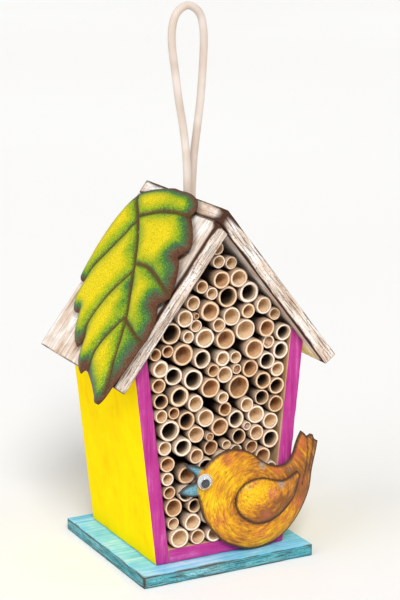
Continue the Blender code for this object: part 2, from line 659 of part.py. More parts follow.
def make_pad(name, place, height, frame, glue):
    """A dab of glue between a surface at 0 and the back of a sheet."""
    turns = [2 * math.pi * k / 12 for k in range(12)]
    lowest = min(height(place[0] + PAD_RADIUS * math.cos(a), place[1] + PAD_RADIUS * math.sin(a))
                 for a in turns)
    top = lowest - FIT_GAP
    profile = [(0, FIT_GAP), (PAD_RADIUS, FIT_GAP), (0.8 * PAD_RADIUS, top), (0, top)]
    turned(name, profile, frame @ Matrix.Translation((*place, 0)), glue, 12)


def make_bird(paint, glue):
    """Bird, wing and eye share one frame: X across, Y up the front, Z towards the viewer."""
    frame = Matrix(((1, 0, 0, 0), (0, 0, -1, BODY_FRONT), (0, 1, 0, 0), (0, 0, 0, 1)))
    outline = scaled(BIRD_OUTLINE)
    wing_outline = scaled(WING_OUTLINE)

    def bird_height(x, y):
        return BIRD_LIFT + crown_height(x, y, outline, BIRD_CROWN, BIRD_CROWN_WIDTH)

    def wing_height(x, y):
        lift = BIRD_LIFT + BIRD_CROWN + SHEET + FIT_GAP
        return lift + crown_height(x, y, wing_outline, WING_CROWN, WING_CROWN_WIDTH)

    sheet("bird_body", outline, bird_height, frame, 6 * MM, paint)
    sheet("bird_wing", wing_outline, wing_height, frame, 6 * MM, paint)
    wall_x = (outer_half_width(BIRD_WALL_PAD_Z) + inner_half_width(BIRD_WALL_PAD_Z)) / 2
    floor_z = BASE_THICKNESS + FIT_GAP + FLOOR_THICKNESS / 2
    for number, place in enumerate(((BIRD_FLOOR_PAD_X, floor_z), (wall_x, BIRD_WALL_PAD_Z)), 1):
        make_pad(f"bird_glue_{number}", place, bird_height, frame, glue)
    return frame, bird_height


def make_eye(frame, bird_height, white, clear, black):
    """A wiggle eye: a white back, a clear dome and a loose black disc between them."""
    turns = [2 * math.pi * k / 16 for k in range(16)]
    x, y = EYE_CENTRE
    around = [bird_height(x + 0.9 * EYE_RADIUS * share * math.cos(a),
                          y + 0.9 * EYE_RADIUS * share * math.sin(a))
              for a in turns for share in (0.5, 1)]
    seat = max(max(around), bird_height(x, y)) + SHEET + FIT_GAP
    back = frame @ Matrix.Translation((x, y, seat))
    turned("eye_back", [(0, 0), (EYE_RADIUS, 0), (EYE_RADIUS, EYE_BACK), (0, EYE_BACK)], back, white, 20)
    dome_base = EYE_BACK + FIT_GAP
    dome = [(5.0, 0), (5.0, 0.9), (4.3, 2.0), (2.7, 2.8), (0, 3.1)]
    outside = [(r * MM * EYE_RADIUS / (5 * MM), h * MM) for r, h in dome]
    inside = [(max(0.0, r - EYE_SHELL), max(0.0, h - EYE_SHELL)) for r, h in outside[:-1]]
    inside[0] = (inside[0][0], 0)
    inside[1] = (inside[1][0], outside[1][1])
    inside.append((0, outside[-1][1] - EYE_SHELL))
    profile = outside + inside[::-1]
    turned("eye_dome", profile, back @ Matrix.Translation((0, 0, dome_base)), clear, 20)
    low = EYE_BACK + FIT_GAP
    disc = [(0, low), (PUPIL_RADIUS, low), (PUPIL_RADIUS, low + PUPIL_THICKNESS),
            (0, low + PUPIL_THICKNESS)]
    pupil = turned("eye_pupil", disc, Matrix.Translation((0, -PUPIL_DROP, 0)), black, 20)
    pupil.matrix_world = back


def main():
    for obj in list(bpy.data.objects):
        bpy.data.objects.remove(obj)
    yellow = make_material("yellow_paint", (0.95, 0.74, 0.01), 0.55)
    magenta = make_material("magenta_paint", (0.52, 0.04, 0.30), 0.55)
    blue = make_material("blue_paint", (0.14, 0.50, 0.68), 0.55)
    whitewash = make_material("whitewashed_wood", (0.74, 0.62, 0.50), 0.7)
    cane_colour = make_material("cane", (0.74, 0.56, 0.36), 0.65)
    steel = make_material("zinc_plated_steel", (0.55, 0.55, 0.55), 0.4, 1.0)
    leaf_paint = make_material("leaf_enamel", (0.35, 0.55, 0.05), 0.4)
    bird_paint = make_material("bird_enamel", (0.80, 0.42, 0.03), 0.4)
    glue = make_material("clear_glue", (0.75, 0.70, 0.55), 0.3)
    white = make_material("white_plastic", (0.85, 0.85, 0.85), 0.3)
    clear = make_material("clear_plastic", (0.90, 0.93, 0.95), 0.05)
    black = make_material("black_plastic", (0.02, 0.02, 0.02), 0.3)
    cotton = make_material("cotton_cord", (0.74, 0.65, 0.55), 0.9)

    base = make_base(blue)
    floor = make_floor(magenta)
    walls = (make_wall("side_wall_left", -1, yellow), make_wall("side_wall_right", 1, yellow))
    make_back(yellow)
    boards = make_roof(whitewash)
    make_screws(steel, base, floor)
    make_nails(steel, boards, walls)
    make_canes(cane_colour)
    make_cord(cotton)
    make_leaf(leaf_paint, glue)
    frame, bird_height = make_bird(bird_paint, glue)
    make_eye(frame, bird_height, white, clear, black)


main()
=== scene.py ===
import math

import bmesh
import bpy
import numpy as np
from mathutils import Matrix, Vector, noise


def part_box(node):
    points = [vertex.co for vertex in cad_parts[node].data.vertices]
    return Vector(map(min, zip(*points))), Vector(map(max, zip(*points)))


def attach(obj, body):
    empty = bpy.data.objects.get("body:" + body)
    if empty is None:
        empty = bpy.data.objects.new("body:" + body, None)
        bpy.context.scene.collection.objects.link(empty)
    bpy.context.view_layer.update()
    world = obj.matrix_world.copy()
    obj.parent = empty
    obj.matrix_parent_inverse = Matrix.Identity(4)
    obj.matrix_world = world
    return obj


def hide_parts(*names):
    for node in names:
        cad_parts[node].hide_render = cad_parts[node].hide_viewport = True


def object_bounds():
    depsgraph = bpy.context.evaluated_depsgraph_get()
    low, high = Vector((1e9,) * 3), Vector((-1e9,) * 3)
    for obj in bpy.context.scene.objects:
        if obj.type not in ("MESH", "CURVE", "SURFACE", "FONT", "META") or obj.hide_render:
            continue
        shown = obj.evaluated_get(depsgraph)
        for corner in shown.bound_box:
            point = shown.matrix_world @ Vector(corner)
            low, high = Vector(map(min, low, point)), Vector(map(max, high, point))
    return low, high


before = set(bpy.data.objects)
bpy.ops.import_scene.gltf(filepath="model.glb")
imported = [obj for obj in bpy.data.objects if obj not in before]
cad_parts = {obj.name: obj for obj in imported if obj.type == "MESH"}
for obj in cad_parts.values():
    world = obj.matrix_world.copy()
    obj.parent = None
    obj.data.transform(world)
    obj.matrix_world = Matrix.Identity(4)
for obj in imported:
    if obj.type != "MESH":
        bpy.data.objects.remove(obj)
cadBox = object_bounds()
mm = 0.001
print("frame loaded")


def hexToLinear(code):  # sRGB hex to the linear colour that shaders take
    channels = [int(code[k:k + 2], 16) / 255 for k in (1, 3, 5)]
    return [c / 12.92 if c <= 0.04045 else ((c + 0.055) / 1.055) ** 2.4 for c in channels] + [1]


def connect(node, links):  # a source is a socket, or a node whose first output is meant
    for name, source in links.items():
        if hasattr(source, "outputs"):
            source = next(s for s in source.outputs if s.enabled)
        node.id_data.links.new(source, findSocket(node, name))


def findSocket(node, name):
    if isinstance(name, int):
        return node.inputs[name]
    return next((s for s in node.inputs if s.enabled and s.name == name), None)


def addNode(material, kind, settings=None, links=None):  # settings go to sockets or to the node itself
    node = material.node_tree.nodes.new("ShaderNode" + kind)
    for name, value in (settings or {}).items():
        socket = findSocket(node, name)
        if name == "stops":
            ramp = node.color_ramp
            ramp.elements.remove(ramp.elements[1])
            for k, (place, code) in enumerate(value):
                stop = ramp.elements.new(place) if k else ramp.elements[0]
                stop.position = place
                stop.color = hexToLinear(code)
        elif socket:
            socket.default_value = value
        else:
            setattr(node, name, value)
    connect(node, links or {})
    return node


def newMaterial(name, roughness, constants=None):  # also gives its shader and the object's coordinates
    material = bpy.data.materials.new(name)
    material.use_nodes = True
    shader = material.node_tree.nodes["Principled BSDF"]
    for socket, value in {"Roughness": roughness, **(constants or {})}.items():
        shader.inputs[socket].default_value = value
    return material, shader, addNode(material, "TexCoord").outputs["Object"]


def newObject(name, bm, materials=()):
    mesh = bpy.data.meshes.new(name)
    bm.to_mesh(mesh)
    bm.free()
    for material in materials:
        mesh.materials.append(material)
    made = bpy.data.objects.new(name, mesh)
    bpy.context.scene.collection.objects.link(made)
    return made


def placePiece(name, bm, materials, slot, replaced=(), body="house"):
    piece = newObject(name, bm, materials)
    piece.data.shade_smooth()
    piece.data.set_sharp_from_angle(angle=math.radians(50))
    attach(piece, body)
    if replaced:
        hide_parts(*replaced)
    return piece


def mergedCopy(node):  # a CAD node is loose triangles, so its copy is joined up first
    bm = bmesh.new()
    bm.from_mesh(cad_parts[node].data)
    bmesh.ops.remove_doubles(bm, verts=bm.verts[:], dist=0.01 * mm)
    return bm


def inOrder(sequence, chosen):  # a set has no fixed order, and each run has to give the same mesh
    sequence.index_update()
    return sorted(chosen, key=lambda part: part.index)


def turnProfile(bm, profile, place, steps):  # spins (radius, height) points about a frame's Z axis
    line = [bm.verts.new((radius, 0, height)) for radius, height in profile]
    edges = [bm.edges.new(pair) for pair in zip(line, line[1:])]
    spun = bmesh.ops.spin(bm, geom=line + edges, cent=(0, 0, 0), axis=(0, 0, 1),
                          angle=2 * math.pi, steps=steps, use_merge=True)
    reached = {v for v in line if v.is_valid}
    reached.update(v for v in spun["geom_last"] if isinstance(v, bmesh.types.BMVert) and v.is_valid)
    waiting = list(reached)
    while waiting:
        vert = waiting.pop()
        near = {e.other_vert(vert) for e in vert.link_edges} - reached
        reached |= near
        waiting.extend(near)
    bmesh.ops.remove_doubles(bm, verts=inOrder(bm.verts, reached), dist=0.005 * mm)
    verts = inOrder(bm.verts, (v for v in reached if v.is_valid))
    faces = inOrder(bm.faces, {f for v in verts for f in v.link_faces})
    bmesh.ops.recalc_face_normals(bm, faces=faces)
    bmesh.ops.transform(bm, matrix=place, verts=verts)
    return verts, faces


# Camera, light and floor

studio = {
    "cameraPlace": (-536.9 * mm, -1049.8 * mm, 462.4 * mm), "yaw": -27.60, "pitch": -13.45, "roll": -0.16,
    "lens": 114.9, "shift": (-0.0048, -0.0432), "floorSize": 40.0,
    "floorTones": [(0.0, "#F2F1EF"), (1.0, "#F8F8F7")], "worldStrength": 0.4,
    # each light's name, direction, strength, and spread in degrees
    "lights": [("keyLight", (0.35, 1.0, -0.95), 2.3, 20), ("leftLight", (1.0, 0.15, -0.6), 1.0, 50),
               ("rightLight", (-0.8, 0.9, -0.35), 0.3, 60)],
}


def makeCamera():
    yaw, pitch, roll = (math.radians(studio[key]) for key in ("yaw", "pitch", "roll"))
    turn = Matrix.Rotation(yaw, 4, "Z") @ Matrix.Rotation(math.pi / 2 + pitch, 4, "X")
    camera = bpy.data.objects.new("camera", bpy.data.cameras.new("camera"))
    camera.matrix_world = Matrix.Translation(studio["cameraPlace"]) @ turn @ Matrix.Rotation(roll, 4, "Z")
    camera.data.lens = studio["lens"]
    camera.data.shift_x, camera.data.shift_y = studio["shift"]
    bpy.context.scene.collection.objects.link(camera)
    bpy.context.scene.camera = camera


def makeSun(name, direction, strength, spread):  # a wide, soft studio light that is even over the whole floor
    light = bpy.data.lights.new(name, "SUN")
    light.energy = strength
    light.angle = math.radians(spread)
    lamp = bpy.data.objects.new(name, light)
    lamp.matrix_world = Vector(direction).to_track_quat("-Z", "Y").to_matrix().to_4x4()
    bpy.context.scene.collection.objects.link(lamp)


def makeStudio():
    makeCamera()
    for name, direction, strength, spread in studio["lights"]:
        makeSun(name, direction, strength, spread)
    world = bpy.data.worlds.new("studioWorld")
    world.use_nodes = True
    background = world.node_tree.nodes["Background"]
    background.inputs["Color"].default_value = (1, 1, 1, 1)
    background.inputs["Strength"].default_value = studio["worldStrength"]
    bpy.context.scene.world = world
    bpy.context.scene.view_settings.view_transform = "Standard"
    material, shader, _ = newMaterial("paperFloor", 0.9)
    grain = addNode(material, "TexNoise", {"Scale": 40.0, "Detail": 3.0})
    tone = addNode(material, "ValToRGB", {"stops": studio["floorTones"]}, {"Fac": grain})
    connect(shader, {"Base Color": tone})
    bm = bmesh.new()
    bmesh.ops.create_grid(bm, x_segments=8, y_segments=8, size=studio["floorSize"] / 2)
    bmesh.ops.translate(bm, verts=bm.verts[:], vec=(0, 0, cadBox[0].z))
    newObject("floor", bm, [material])


makeStudio()
print("camera, light and floor made")


# Cotton cord

cordSettings = {
    "diameter": 5.0 * mm, "step": 0.36 * mm, "around": 54, "carriers": 9, "pitch": 3.7 * mm,
    "relief": 0.16 * mm, "plaitRound": 0.6, "plaitEnds": 0.45, "plaitMiddle": 0.75,
    "route": [
        (0, -0.8, 207.1), (0, -0.8, 210.5), (0.5, -0.8, 222), (0.7, -0.8, 236), (0.3, -0.5, 255),
        (-1.4, 0, 273), (-4.3, 0.5, 291.5), (-6.5, 0.5, 308), (-8.8, 0.5, 326), (-8.2, 0.5, 338),
        (-4.7, 0.5, 346), (2.5, 0.5, 349.6), (9.6, 0.5, 345.5), (12.5, 0.5, 338), (13.3, 0.5, 326),
        (12.2, 0.5, 307), (10.8, 0.5, 291), (8.5, 0.8, 273), (6.5, 1.4, 256), (5.3, 1.8, 236),
        (5.1, 1.8, 222), (4.6, 1.8, 210.5), (4.6, 1.8, 207.1)],
}
knotSettings = {
    "turns": 2.3, "inset": 2.45 * mm, "points": 60, "step": 0.5 * mm,
    "playAcross": 0.1 * mm, "playAlong": 0.4 * mm,
    "tucked": 0.06, "tuckedReach": 0.55,  # the share of the cord at each end that is drawn in, and how far
}


def cottonBraid():
    # unbleached cotton, braided: a dull cream with painted shade between the plaits, and a soft fuzz
    material, shader, place = newMaterial("cottonBraid", 0.92, {"Sheen Weight": 0.25})
    plait = addNode(material, "Attribute", {"attribute_name": "plait"}).outputs["Fac"]
    fibre = addNode(material, "TexNoise", {"Scale": 2600.0, "Detail": 4.0, "Roughness": 0.7},
                    {"Vector": place})  # fibres 0.4 mm apart
    stain = addNode(material, "TexNoise", {"Scale": 60.0, "Detail": 3.0}, {"Vector": place})
    # painted shade: the tone darkens where the plait is low
    mixed = addNode(material, "Math", {"operation": "MULTIPLY_ADD", 1: 0.45}, {0: fibre, 2: plait})
    tone = addNode(material, "ValToRGB", {"stops": [
        (0.15, "#8C7A6E"), (0.45, "#C0B0A4"), (0.8, "#D6C8BE"), (1.0, "#E8DED6")]}, {"Fac": mixed})
    patch = addNode(material, "ValToRGB", {"stops": [(0.35, "#E6DCD2"), (0.65, "#FFFFFF")]}, {"Fac": stain})
    colour = addNode(material, "Mix", {"data_type": "RGBA", "blend_type": "MULTIPLY", "Factor": 1.0},
                     {"A": tone, "B": patch})
    bump = addNode(material, "Bump", {"Strength": 0.6, "Distance": 0.0002}, {"Height": fibre})
    connect(shader, {"Base Color": colour, "Normal": bump})
    return material


def smoothRoute(points, step):  # points about one step apart on a smooth curve through the given ones
    fine = []
    padded = [2 * points[0] - points[1], *points, 2 * points[-1] - points[-2]]
    for p0, p1, p2, p3 in zip(padded, padded[1:], padded[2:], padded[3:]):
        for t in (k / 24 for k in range(24)):
            fine.append(0.5 * (2 * p1 + (p2 - p0) * t + (2 * p0 - 5 * p1 + 4 * p2 - p3) * t ** 2
                               + (3 * p1 - p0 - 3 * p2 + p3) * t ** 3))
    fine.append(points[-1])
    total = sum((b - a).length for a, b in zip(fine, fine[1:]))
    count = round(total / step)
    route, walked, wanted = [fine[0]], 0.0, total / count
    for a, b in zip(fine, fine[1:]):
        length = (b - a).length
        while walked + length >= wanted and len(route) < count:
            route.append(a.lerp(b, (wanted - walked) / length))
            wanted += total / count
        walked += length
    return route + [fine[-1]], total


def braidedTube(name, route, material, radius):
    around = cordSettings["around"]
    curve = bpy.data.curves.new(name + "Line", "CURVE")
    curve.dimensions = "3D"
    curve.bevel_depth = radius
    curve.bevel_resolution = around // 2 - 2
    curve.use_fill_caps = True
    spline = curve.splines.new("POLY")
    spline.points.add(len(route) - 1)
    for point, place in zip(spline.points, route):
        point.co = (*place, 1)
    line = bpy.data.objects.new(name + "Line", curve)
    bpy.context.scene.collection.objects.link(line)
    graph = bpy.context.evaluated_depsgraph_get()
    mesh = bpy.data.meshes.new_from_object(line.evaluated_get(graph))
    bpy.data.objects.remove(line)
    bm = bmesh.new()
    bm.from_mesh(mesh)
    bpy.data.meshes.remove(mesh)
    bm.verts.ensure_lookup_table()
    plaitLayer = bm.verts.layers.float.new("plait")
    step = (route[1] - route[0]).length
    for vert in bm.verts:
        ring, turn = divmod(vert.index, around)
        ring = min(ring, len(route) - 1)
        across = cordSettings["carriers"] * turn / around
        along = ring * step / cordSettings["pitch"] * 2
        right, left = across + along, across - along
        over = (math.floor(right) + math.floor(left)) % 2
        rise = abs(math.sin(math.pi * (right if over else left)))
        ends = abs(math.sin(math.pi * (left if over else right)))
        height = rise ** cordSettings["plaitRound"] * (1 - cordSettings["plaitEnds"] * (1 - ends ** 0.5))
        centre = route[ring]
        outward = vert.co - centre
        if 0 < ring < len(route) - 1:
            raised = (height - cordSettings["plaitMiddle"]) * cordSettings["relief"]
            vert.co = centre + outward * (1 + raised / radius)
        vert[plaitLayer] = height
    return placePiece(name, bm, [material], "cord")


def makeCord():
    cotton = cottonBraid()
    radius = cordSettings["diameter"] / 2
    points = [Vector(place) * mm for place in cordSettings["route"]]
    route, length = smoothRoute(points, cordSettings["step"])
    loop = braidedTube("cordLoop", route, cotton, radius)
    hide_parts("cord_loop")
    low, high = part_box("cord_knot")
    centre = (low + high) / 2
    inset, count = knotSettings["inset"], knotSettings["points"]
    wind = (high.x - low.x) / 2 - inset - knotSettings["playAcross"]
    rise = high.z - low.z - 2 * inset - knotSettings["playAlong"]
    turns = []
    for share in (k / count for k in range(count + 1)):
        angle = 2 * math.pi * knotSettings["turns"] * share
        tucked = not knotSettings["tucked"] < share < 1 - knotSettings["tucked"]
        reach = wind * (knotSettings["tuckedReach"] if tucked else 1)
        turns.append(centre + Vector((reach * math.cos(angle), reach * math.sin(angle),
                                      rise * (share - 0.5))))
    turns = smoothRoute(turns, knotSettings["step"])[0]
    knot = braidedTube("cordKnot", turns, cotton, inset)
    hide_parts("cord_knot")
    print("cord made, %.0f mm long" % (length / mm))


makeCord()


# Wooden boards

boards = {
    "round": 0.7 * mm, "grid": 3.2 * mm, "wear": 0.45 * mm, "wearReach": 1.2 * mm, "wearGrain": 7 * mm,
    "ripple": 0.12 * mm, "rippleGrain": 18 * mm, "roofPitch": 52.5,
    "holeCentre": (3.0 * mm, 0.5 * mm), "holeRadius": 5.7 * mm,
    "holeStart": 150 * mm, "holeLength": 120 * mm,
}


def roofWays(outward):  # down a roof board's slope, and out of its face; outward is -1 on the left
    pitch = math.radians(boards["roofPitch"])
    return (Vector((outward * math.cos(pitch), 0, -math.sin(pitch))),
            Vector((outward * math.sin(pitch), 0, math.cos(pitch))))


def paintedPine(name, paint):
    # brushed acrylic on pine, or a rubbed whitewash: streaks along the grain, and dark wood at the worn edges
    material, shader, place = newMaterial(name, paint["roughness"], {"Specular IOR Level": paint["shine"]})
    turned = addNode(material, "Mapping", {"Rotation": paint["turn"], "Scale": (1000, 1000, 1000)},
                     {"Vector": place})  # millimetres, with the grain along Z
    drawn = addNode(material, "VectorMath", {"operation": "MULTIPLY", 1: (1, 1, 0.035)}, {0: turned})
    gap = addNode(material, "Attribute", {"attribute_name": "edgeGap"}).outputs["Fac"]
    brush, hair, cloud, speck = (
        addNode(material, "TexNoise", {"Scale": scale, "Detail": detail, "Roughness": rough},
                {"Vector": source})
        for scale, detail, rough, source in ((0.45, 5.0, 0.65, drawn), (1.9, 4.0, 0.7, drawn),
                                             (0.05, 4.0, 0.6, turned), (0.9, 3.0, 0.6, turned)))
    sweep = addNode(material, "Math", {"operation": "MULTIPLY_ADD", 1: paint["cloudShare"]},
                    {0: cloud, 2: brush})
    tone = addNode(material, "MapRange", {"From Min": 0.35 + paint["cloudShare"] * 0.35,
                                          "From Max": 0.65 + paint["cloudShare"] * 0.65}, {"Value": sweep})
    ground = addNode(material, "ValToRGB", {"stops": paint["tones"]}, {"Fac": tone})
    streak = addNode(material, "MapRange",
                     {"From Min": paint["streakFrom"], "From Max": paint["streakFrom"] + 0.16,
                      "To Max": paint["streakShare"]}, {"Value": hair})
    streaked = addNode(material, "Mix", {"data_type": "RGBA", "B": hexToLinear(paint["streak"])},
                       {"Factor": streak, "A": ground})
    # the worn band along each edge is a few millimetres wide, wider where the cloud is strong
    reach = addNode(material, "MapRange", {"From Min": 0.35, "From Max": 0.68, "To Min": paint["wearLow"],
                                           "To Max": paint["wearHigh"]}, {"Value": cloud})
    ragged = addNode(material, "Math", {"operation": "MULTIPLY_ADD", 1: paint["ragged"]},
                     {0: hair, 2: gap})
    if "band" in paint:  # the dark brush went further in along one side
        axis, full, clear, extra = paint["band"]
        split = addNode(material, "SeparateXYZ", None, {"Vector": place})
        front = addNode(material, "MapRange", {"From Min": full, "From Max": clear, "To Min": extra,
                                               "To Max": 0.0}, {"Value": split.outputs[axis]})
        reach = addNode(material, "Math", {"operation": "ADD"}, {0: reach, 1: front})
    ratio = addNode(material, "Math", {"operation": "DIVIDE"}, {0: ragged, 1: reach})
    worn = addNode(material, "MapRange",
                   {"interpolation_type": "SMOOTHSTEP", "From Min": 0.45, "From Max": 1.5,
                    "To Min": paint["wearShare"], "To Max": 0.0}, {"Value": ratio})
    dusty = addNode(material, "MapRange",
                    {"From Min": paint["speckFrom"], "From Max": paint["speckFrom"] + 0.06,
                     "To Max": paint["speckShare"]}, {"Value": speck})
    dark = addNode(material, "Math", {"operation": "MAXIMUM"}, {0: worn, 1: dusty})
    wood = addNode(material, "Mix", {"data_type": "RGBA", "A": hexToLinear(paint["wornDark"]),
                                     "B": hexToLinear(paint["wornLight"])}, {"Factor": speck})
    colour = addNode(material, "Mix", {"data_type": "RGBA"}, {"Factor": dark, "A": streaked, "B": wood})
    roughness = addNode(material, "MapRange", {"To Min": paint["roughness"] - 0.06,
                                               "To Max": paint["roughness"] + 0.12}, {"Value": brush})
    height = addNode(material, "Math", {"operation": "MULTIPLY_ADD", 1: 0.6}, {0: hair, 2: brush})
    bump = addNode(material, "Bump", {"Strength": paint["bump"], "Distance": 0.0005}, {"Height": height})
    connect(shader, {"Base Color": colour, "Roughness": roughness, "Normal": bump})
    return material


upright = (0, 0, 0)
sideways = (0, math.radians(90), 0)
slope = math.radians(90 - boards["roofPitch"])
whitewash = {
    "turn": (0, -slope, 0),
    "tones": [(0.0, "#AC8E76"), (0.25, "#D2B8A2"), (0.55, "#E8D8CA"), (0.8, "#FAF6F2")],
    "cloudShare": 1.3, "streak": "#5E4232", "streakFrom": 0.53, "streakShare": 0.9, "wearLow": 0.6,
    "wearHigh": 1.5, "ragged": 1.0, "wearShare": 1.0, "wornDark": "#24140E", "wornLight": "#5C3C2C",
    "speckFrom": 0.64, "speckShare": 0.5, "roughness": 0.82, "bump": 0.5, "shine": 0.15,
    # extra wear along one side: its axis, where it is full, where it ends, and how much wider the band gets
    "band": ("Y", -53.5 * mm, -48 * mm, 5.0),
}
yellowPaint = {
    "turn": upright, "tones": [(0.0, "#FAD200"), (0.3, "#FFDD00"), (0.7, "#FFE300"), (1.0, "#FFE800")],
    "cloudShare": 2.0, "streak": "#F2BE00", "streakFrom": 0.62, "streakShare": 0.12, "wearLow": 0.2,
    "wearHigh": 1.6, "ragged": 1.0, "wearShare": 0.45, "wornDark": "#8A5A00", "wornLight": "#D89A10",
    "speckFrom": 0.8, "speckShare": 0.2, "roughness": 0.75, "bump": 0.22, "shine": 0.03,
}
magentaPaint = {
    "turn": upright, "tones": [(0.0, "#93236F"), (0.3, "#AC2C80"), (0.7, "#B83C8C"), (1.0, "#CB66A8")],
    "cloudShare": 0.6, "streak": "#E08CC6", "streakFrom": 0.58, "streakShare": 0.5, "wearLow": 0.3,
    "wearHigh": 1.0, "ragged": 1.0, "wearShare": 0.4, "wornDark": "#6A1450", "wornLight": "#A04078",
    "speckFrom": 0.8, "speckShare": 0.2, "roughness": 0.6, "bump": 0.3, "shine": 0.2,
}
bluePaint = {
    "turn": sideways, "tones": [(0.0, "#5EB8DA"), (0.3, "#78CAEA"), (0.6, "#98DAF2"), (1.0, "#D0EEF8")],
    "cloudShare": 0.8, "streak": "#3E8FA6", "streakFrom": 0.62, "streakShare": 0.4, "wearLow": 0.5,
    "wearHigh": 1.8, "ragged": 1.2, "wearShare": 0.9, "wornDark": "#2A2622", "wornLight": "#6B675C",
    "speckFrom": 0.74, "speckShare": 0.3, "roughness": 0.5, "bump": 0.25, "shine": 0.25,
}
blueEdge = dict(bluePaint, tones=[(0.0, "#3A8C98"), (0.4, "#54AFBC"), (1.0, "#98D6DE")], streak="#2C2822",
                streakFrom=0.45, streakShare=0.95, speckFrom=0.56, speckShare=0.6, wearLow=0.7, wearHigh=2.1,
                ragged=0.8, wearShare=1.0, wornDark="#16130F", wornLight="#5A5448", bump=0.7, roughness=0.7)
roofEdge = dict(whitewash, tones=[(0.0, "#C4A68E"), (0.35, "#E2CFBE"), (0.8, "#FAF4EE")], streakFrom=0.48,
                streakShare=0.95, streak="#4A3226", speckFrom=0.6, speckShare=0.7, wearLow=0.3, wearHigh=1.5,
                ragged=0.55, wearShare=1.0, band=("Z", 236 * mm, 217 * mm, 5.0), cloudShare=0.9)
ridgeEdge = dict(whitewash, wearLow=1.3, wearHigh=3.2, ragged=1.3, speckFrom=0.6, speckShare=0.7,
                 band=("Y", -53 * mm, -45 * mm, 4.0))
bareWood = {
    "turn": upright, "tones": [(0.0, "#B98A5C"), (0.4, "#CFA678"), (1.0, "#E2C39A")],
    "cloudShare": 0.5, "streak": "#8C6440", "streakFrom": 0.56, "streakShare": 0.5, "wearLow": 0.2,
    "wearHigh": 0.8, "ragged": 1.0, "wearShare": 0.4, "wornDark": "#5A4030", "wornLight": "#8A6648",
    "speckFrom": 0.78, "speckShare": 0.3, "roughness": 0.75, "bump": 0.4, "shine": 0.2,
}


def boardHull(node):  # the board's outer shape, without its holes, as flat faces
    source = mergedCopy(node)
    bm = bmesh.new()
    for vert in source.verts:
        bm.verts.new(vert.co)
    source.free()
    hull = bmesh.ops.convex_hull(bm, input=bm.verts[:])
    spare = {v for v in hull["geom_interior"] + hull["geom_unused"] if isinstance(v, bmesh.types.BMVert)}
    bmesh.ops.delete(bm, geom=inOrder(bm.verts, spare), context="VERTS")
    bmesh.ops.dissolve_limit(bm, angle_limit=math.radians(1), verts=bm.verts[:], edges=bm.edges[:])
    bmesh.ops.recalc_face_normals(bm, faces=bm.faces[:])
    return bm


def gapToEdges(place, edges):
    nearest = 1.0
    for start, run, squared in edges:
        share = max(0.0, min(1.0, (place - start).dot(run) / squared))
        nearest = min(nearest, (place - start - run * share).length)
    return nearest


def makeBoard(name, node, slot, materials, chooseFace, axes):
    bm = boardHull(node)
    edges = [(e.verts[0].co.copy(), e.verts[1].co - e.verts[0].co) for e in bm.edges]
    edges = [(start, run, run.length_squared) for start, run in edges]
    bmesh.ops.bevel(bm, geom=bm.edges[:], offset=boards["round"], segments=3, profile=0.5, affect="EDGES",
                    material=-1, clamp_overlap=True)
    for axis in axes:
        reach = [v.co.dot(axis) for v in bm.verts]
        count = max(2, round((max(reach) - min(reach)) / boards["grid"]))
        for k in range(1, count):
            place = axis * (min(reach) + (max(reach) - min(reach)) * k / count)
            bmesh.ops.bisect_plane(bm, geom=bm.verts[:] + bm.edges[:] + bm.faces[:], dist=0.02 * mm,
                                   plane_co=place, plane_no=axis)
    for face in bm.faces:
        face.material_index = chooseFace(face.normal)
    layer = bm.verts.layers.float.new("edgeGap")
    bm.normal_update()
    moves = []
    for vert in bm.verts:
        gap = gapToEdges(vert.co, edges)
        vert[layer] = gap / mm
        chip = max(0.0, noise.noise(vert.co / boards["wearGrain"])) * boards["wear"]
        chip *= math.exp(-gap / boards["wearReach"])
        ripple = noise.noise(vert.co / boards["rippleGrain"]) * boards["ripple"]
        moves.append((vert, vert.normal * (min(0.0, ripple) - chip)))
    for vert, move in moves:
        vert.co += move
    return placePiece(name, bm, materials, slot, [node])


def drill(piece, cutters):  # cuts holes and keeps the result as plain mesh
    for cutter in cutters:
        modifier = piece.modifiers.new(cutter.name, "BOOLEAN")
        modifier.operation = "DIFFERENCE"
        modifier.solver = "EXACT"
        modifier.object = cutter
    graph = bpy.context.evaluated_depsgraph_get()
    cut = bpy.data.meshes.new_from_object(piece.evaluated_get(graph), depsgraph=graph)
    piece.modifiers.clear()
    piece.data = cut
    for cutter in cutters:
        bpy.data.objects.remove(cutter)


def makeCutter(name, profile, place, steps=32):
    bm = bmesh.new()
    turnProfile(bm, profile, place, steps)
    return newObject(name, bm)


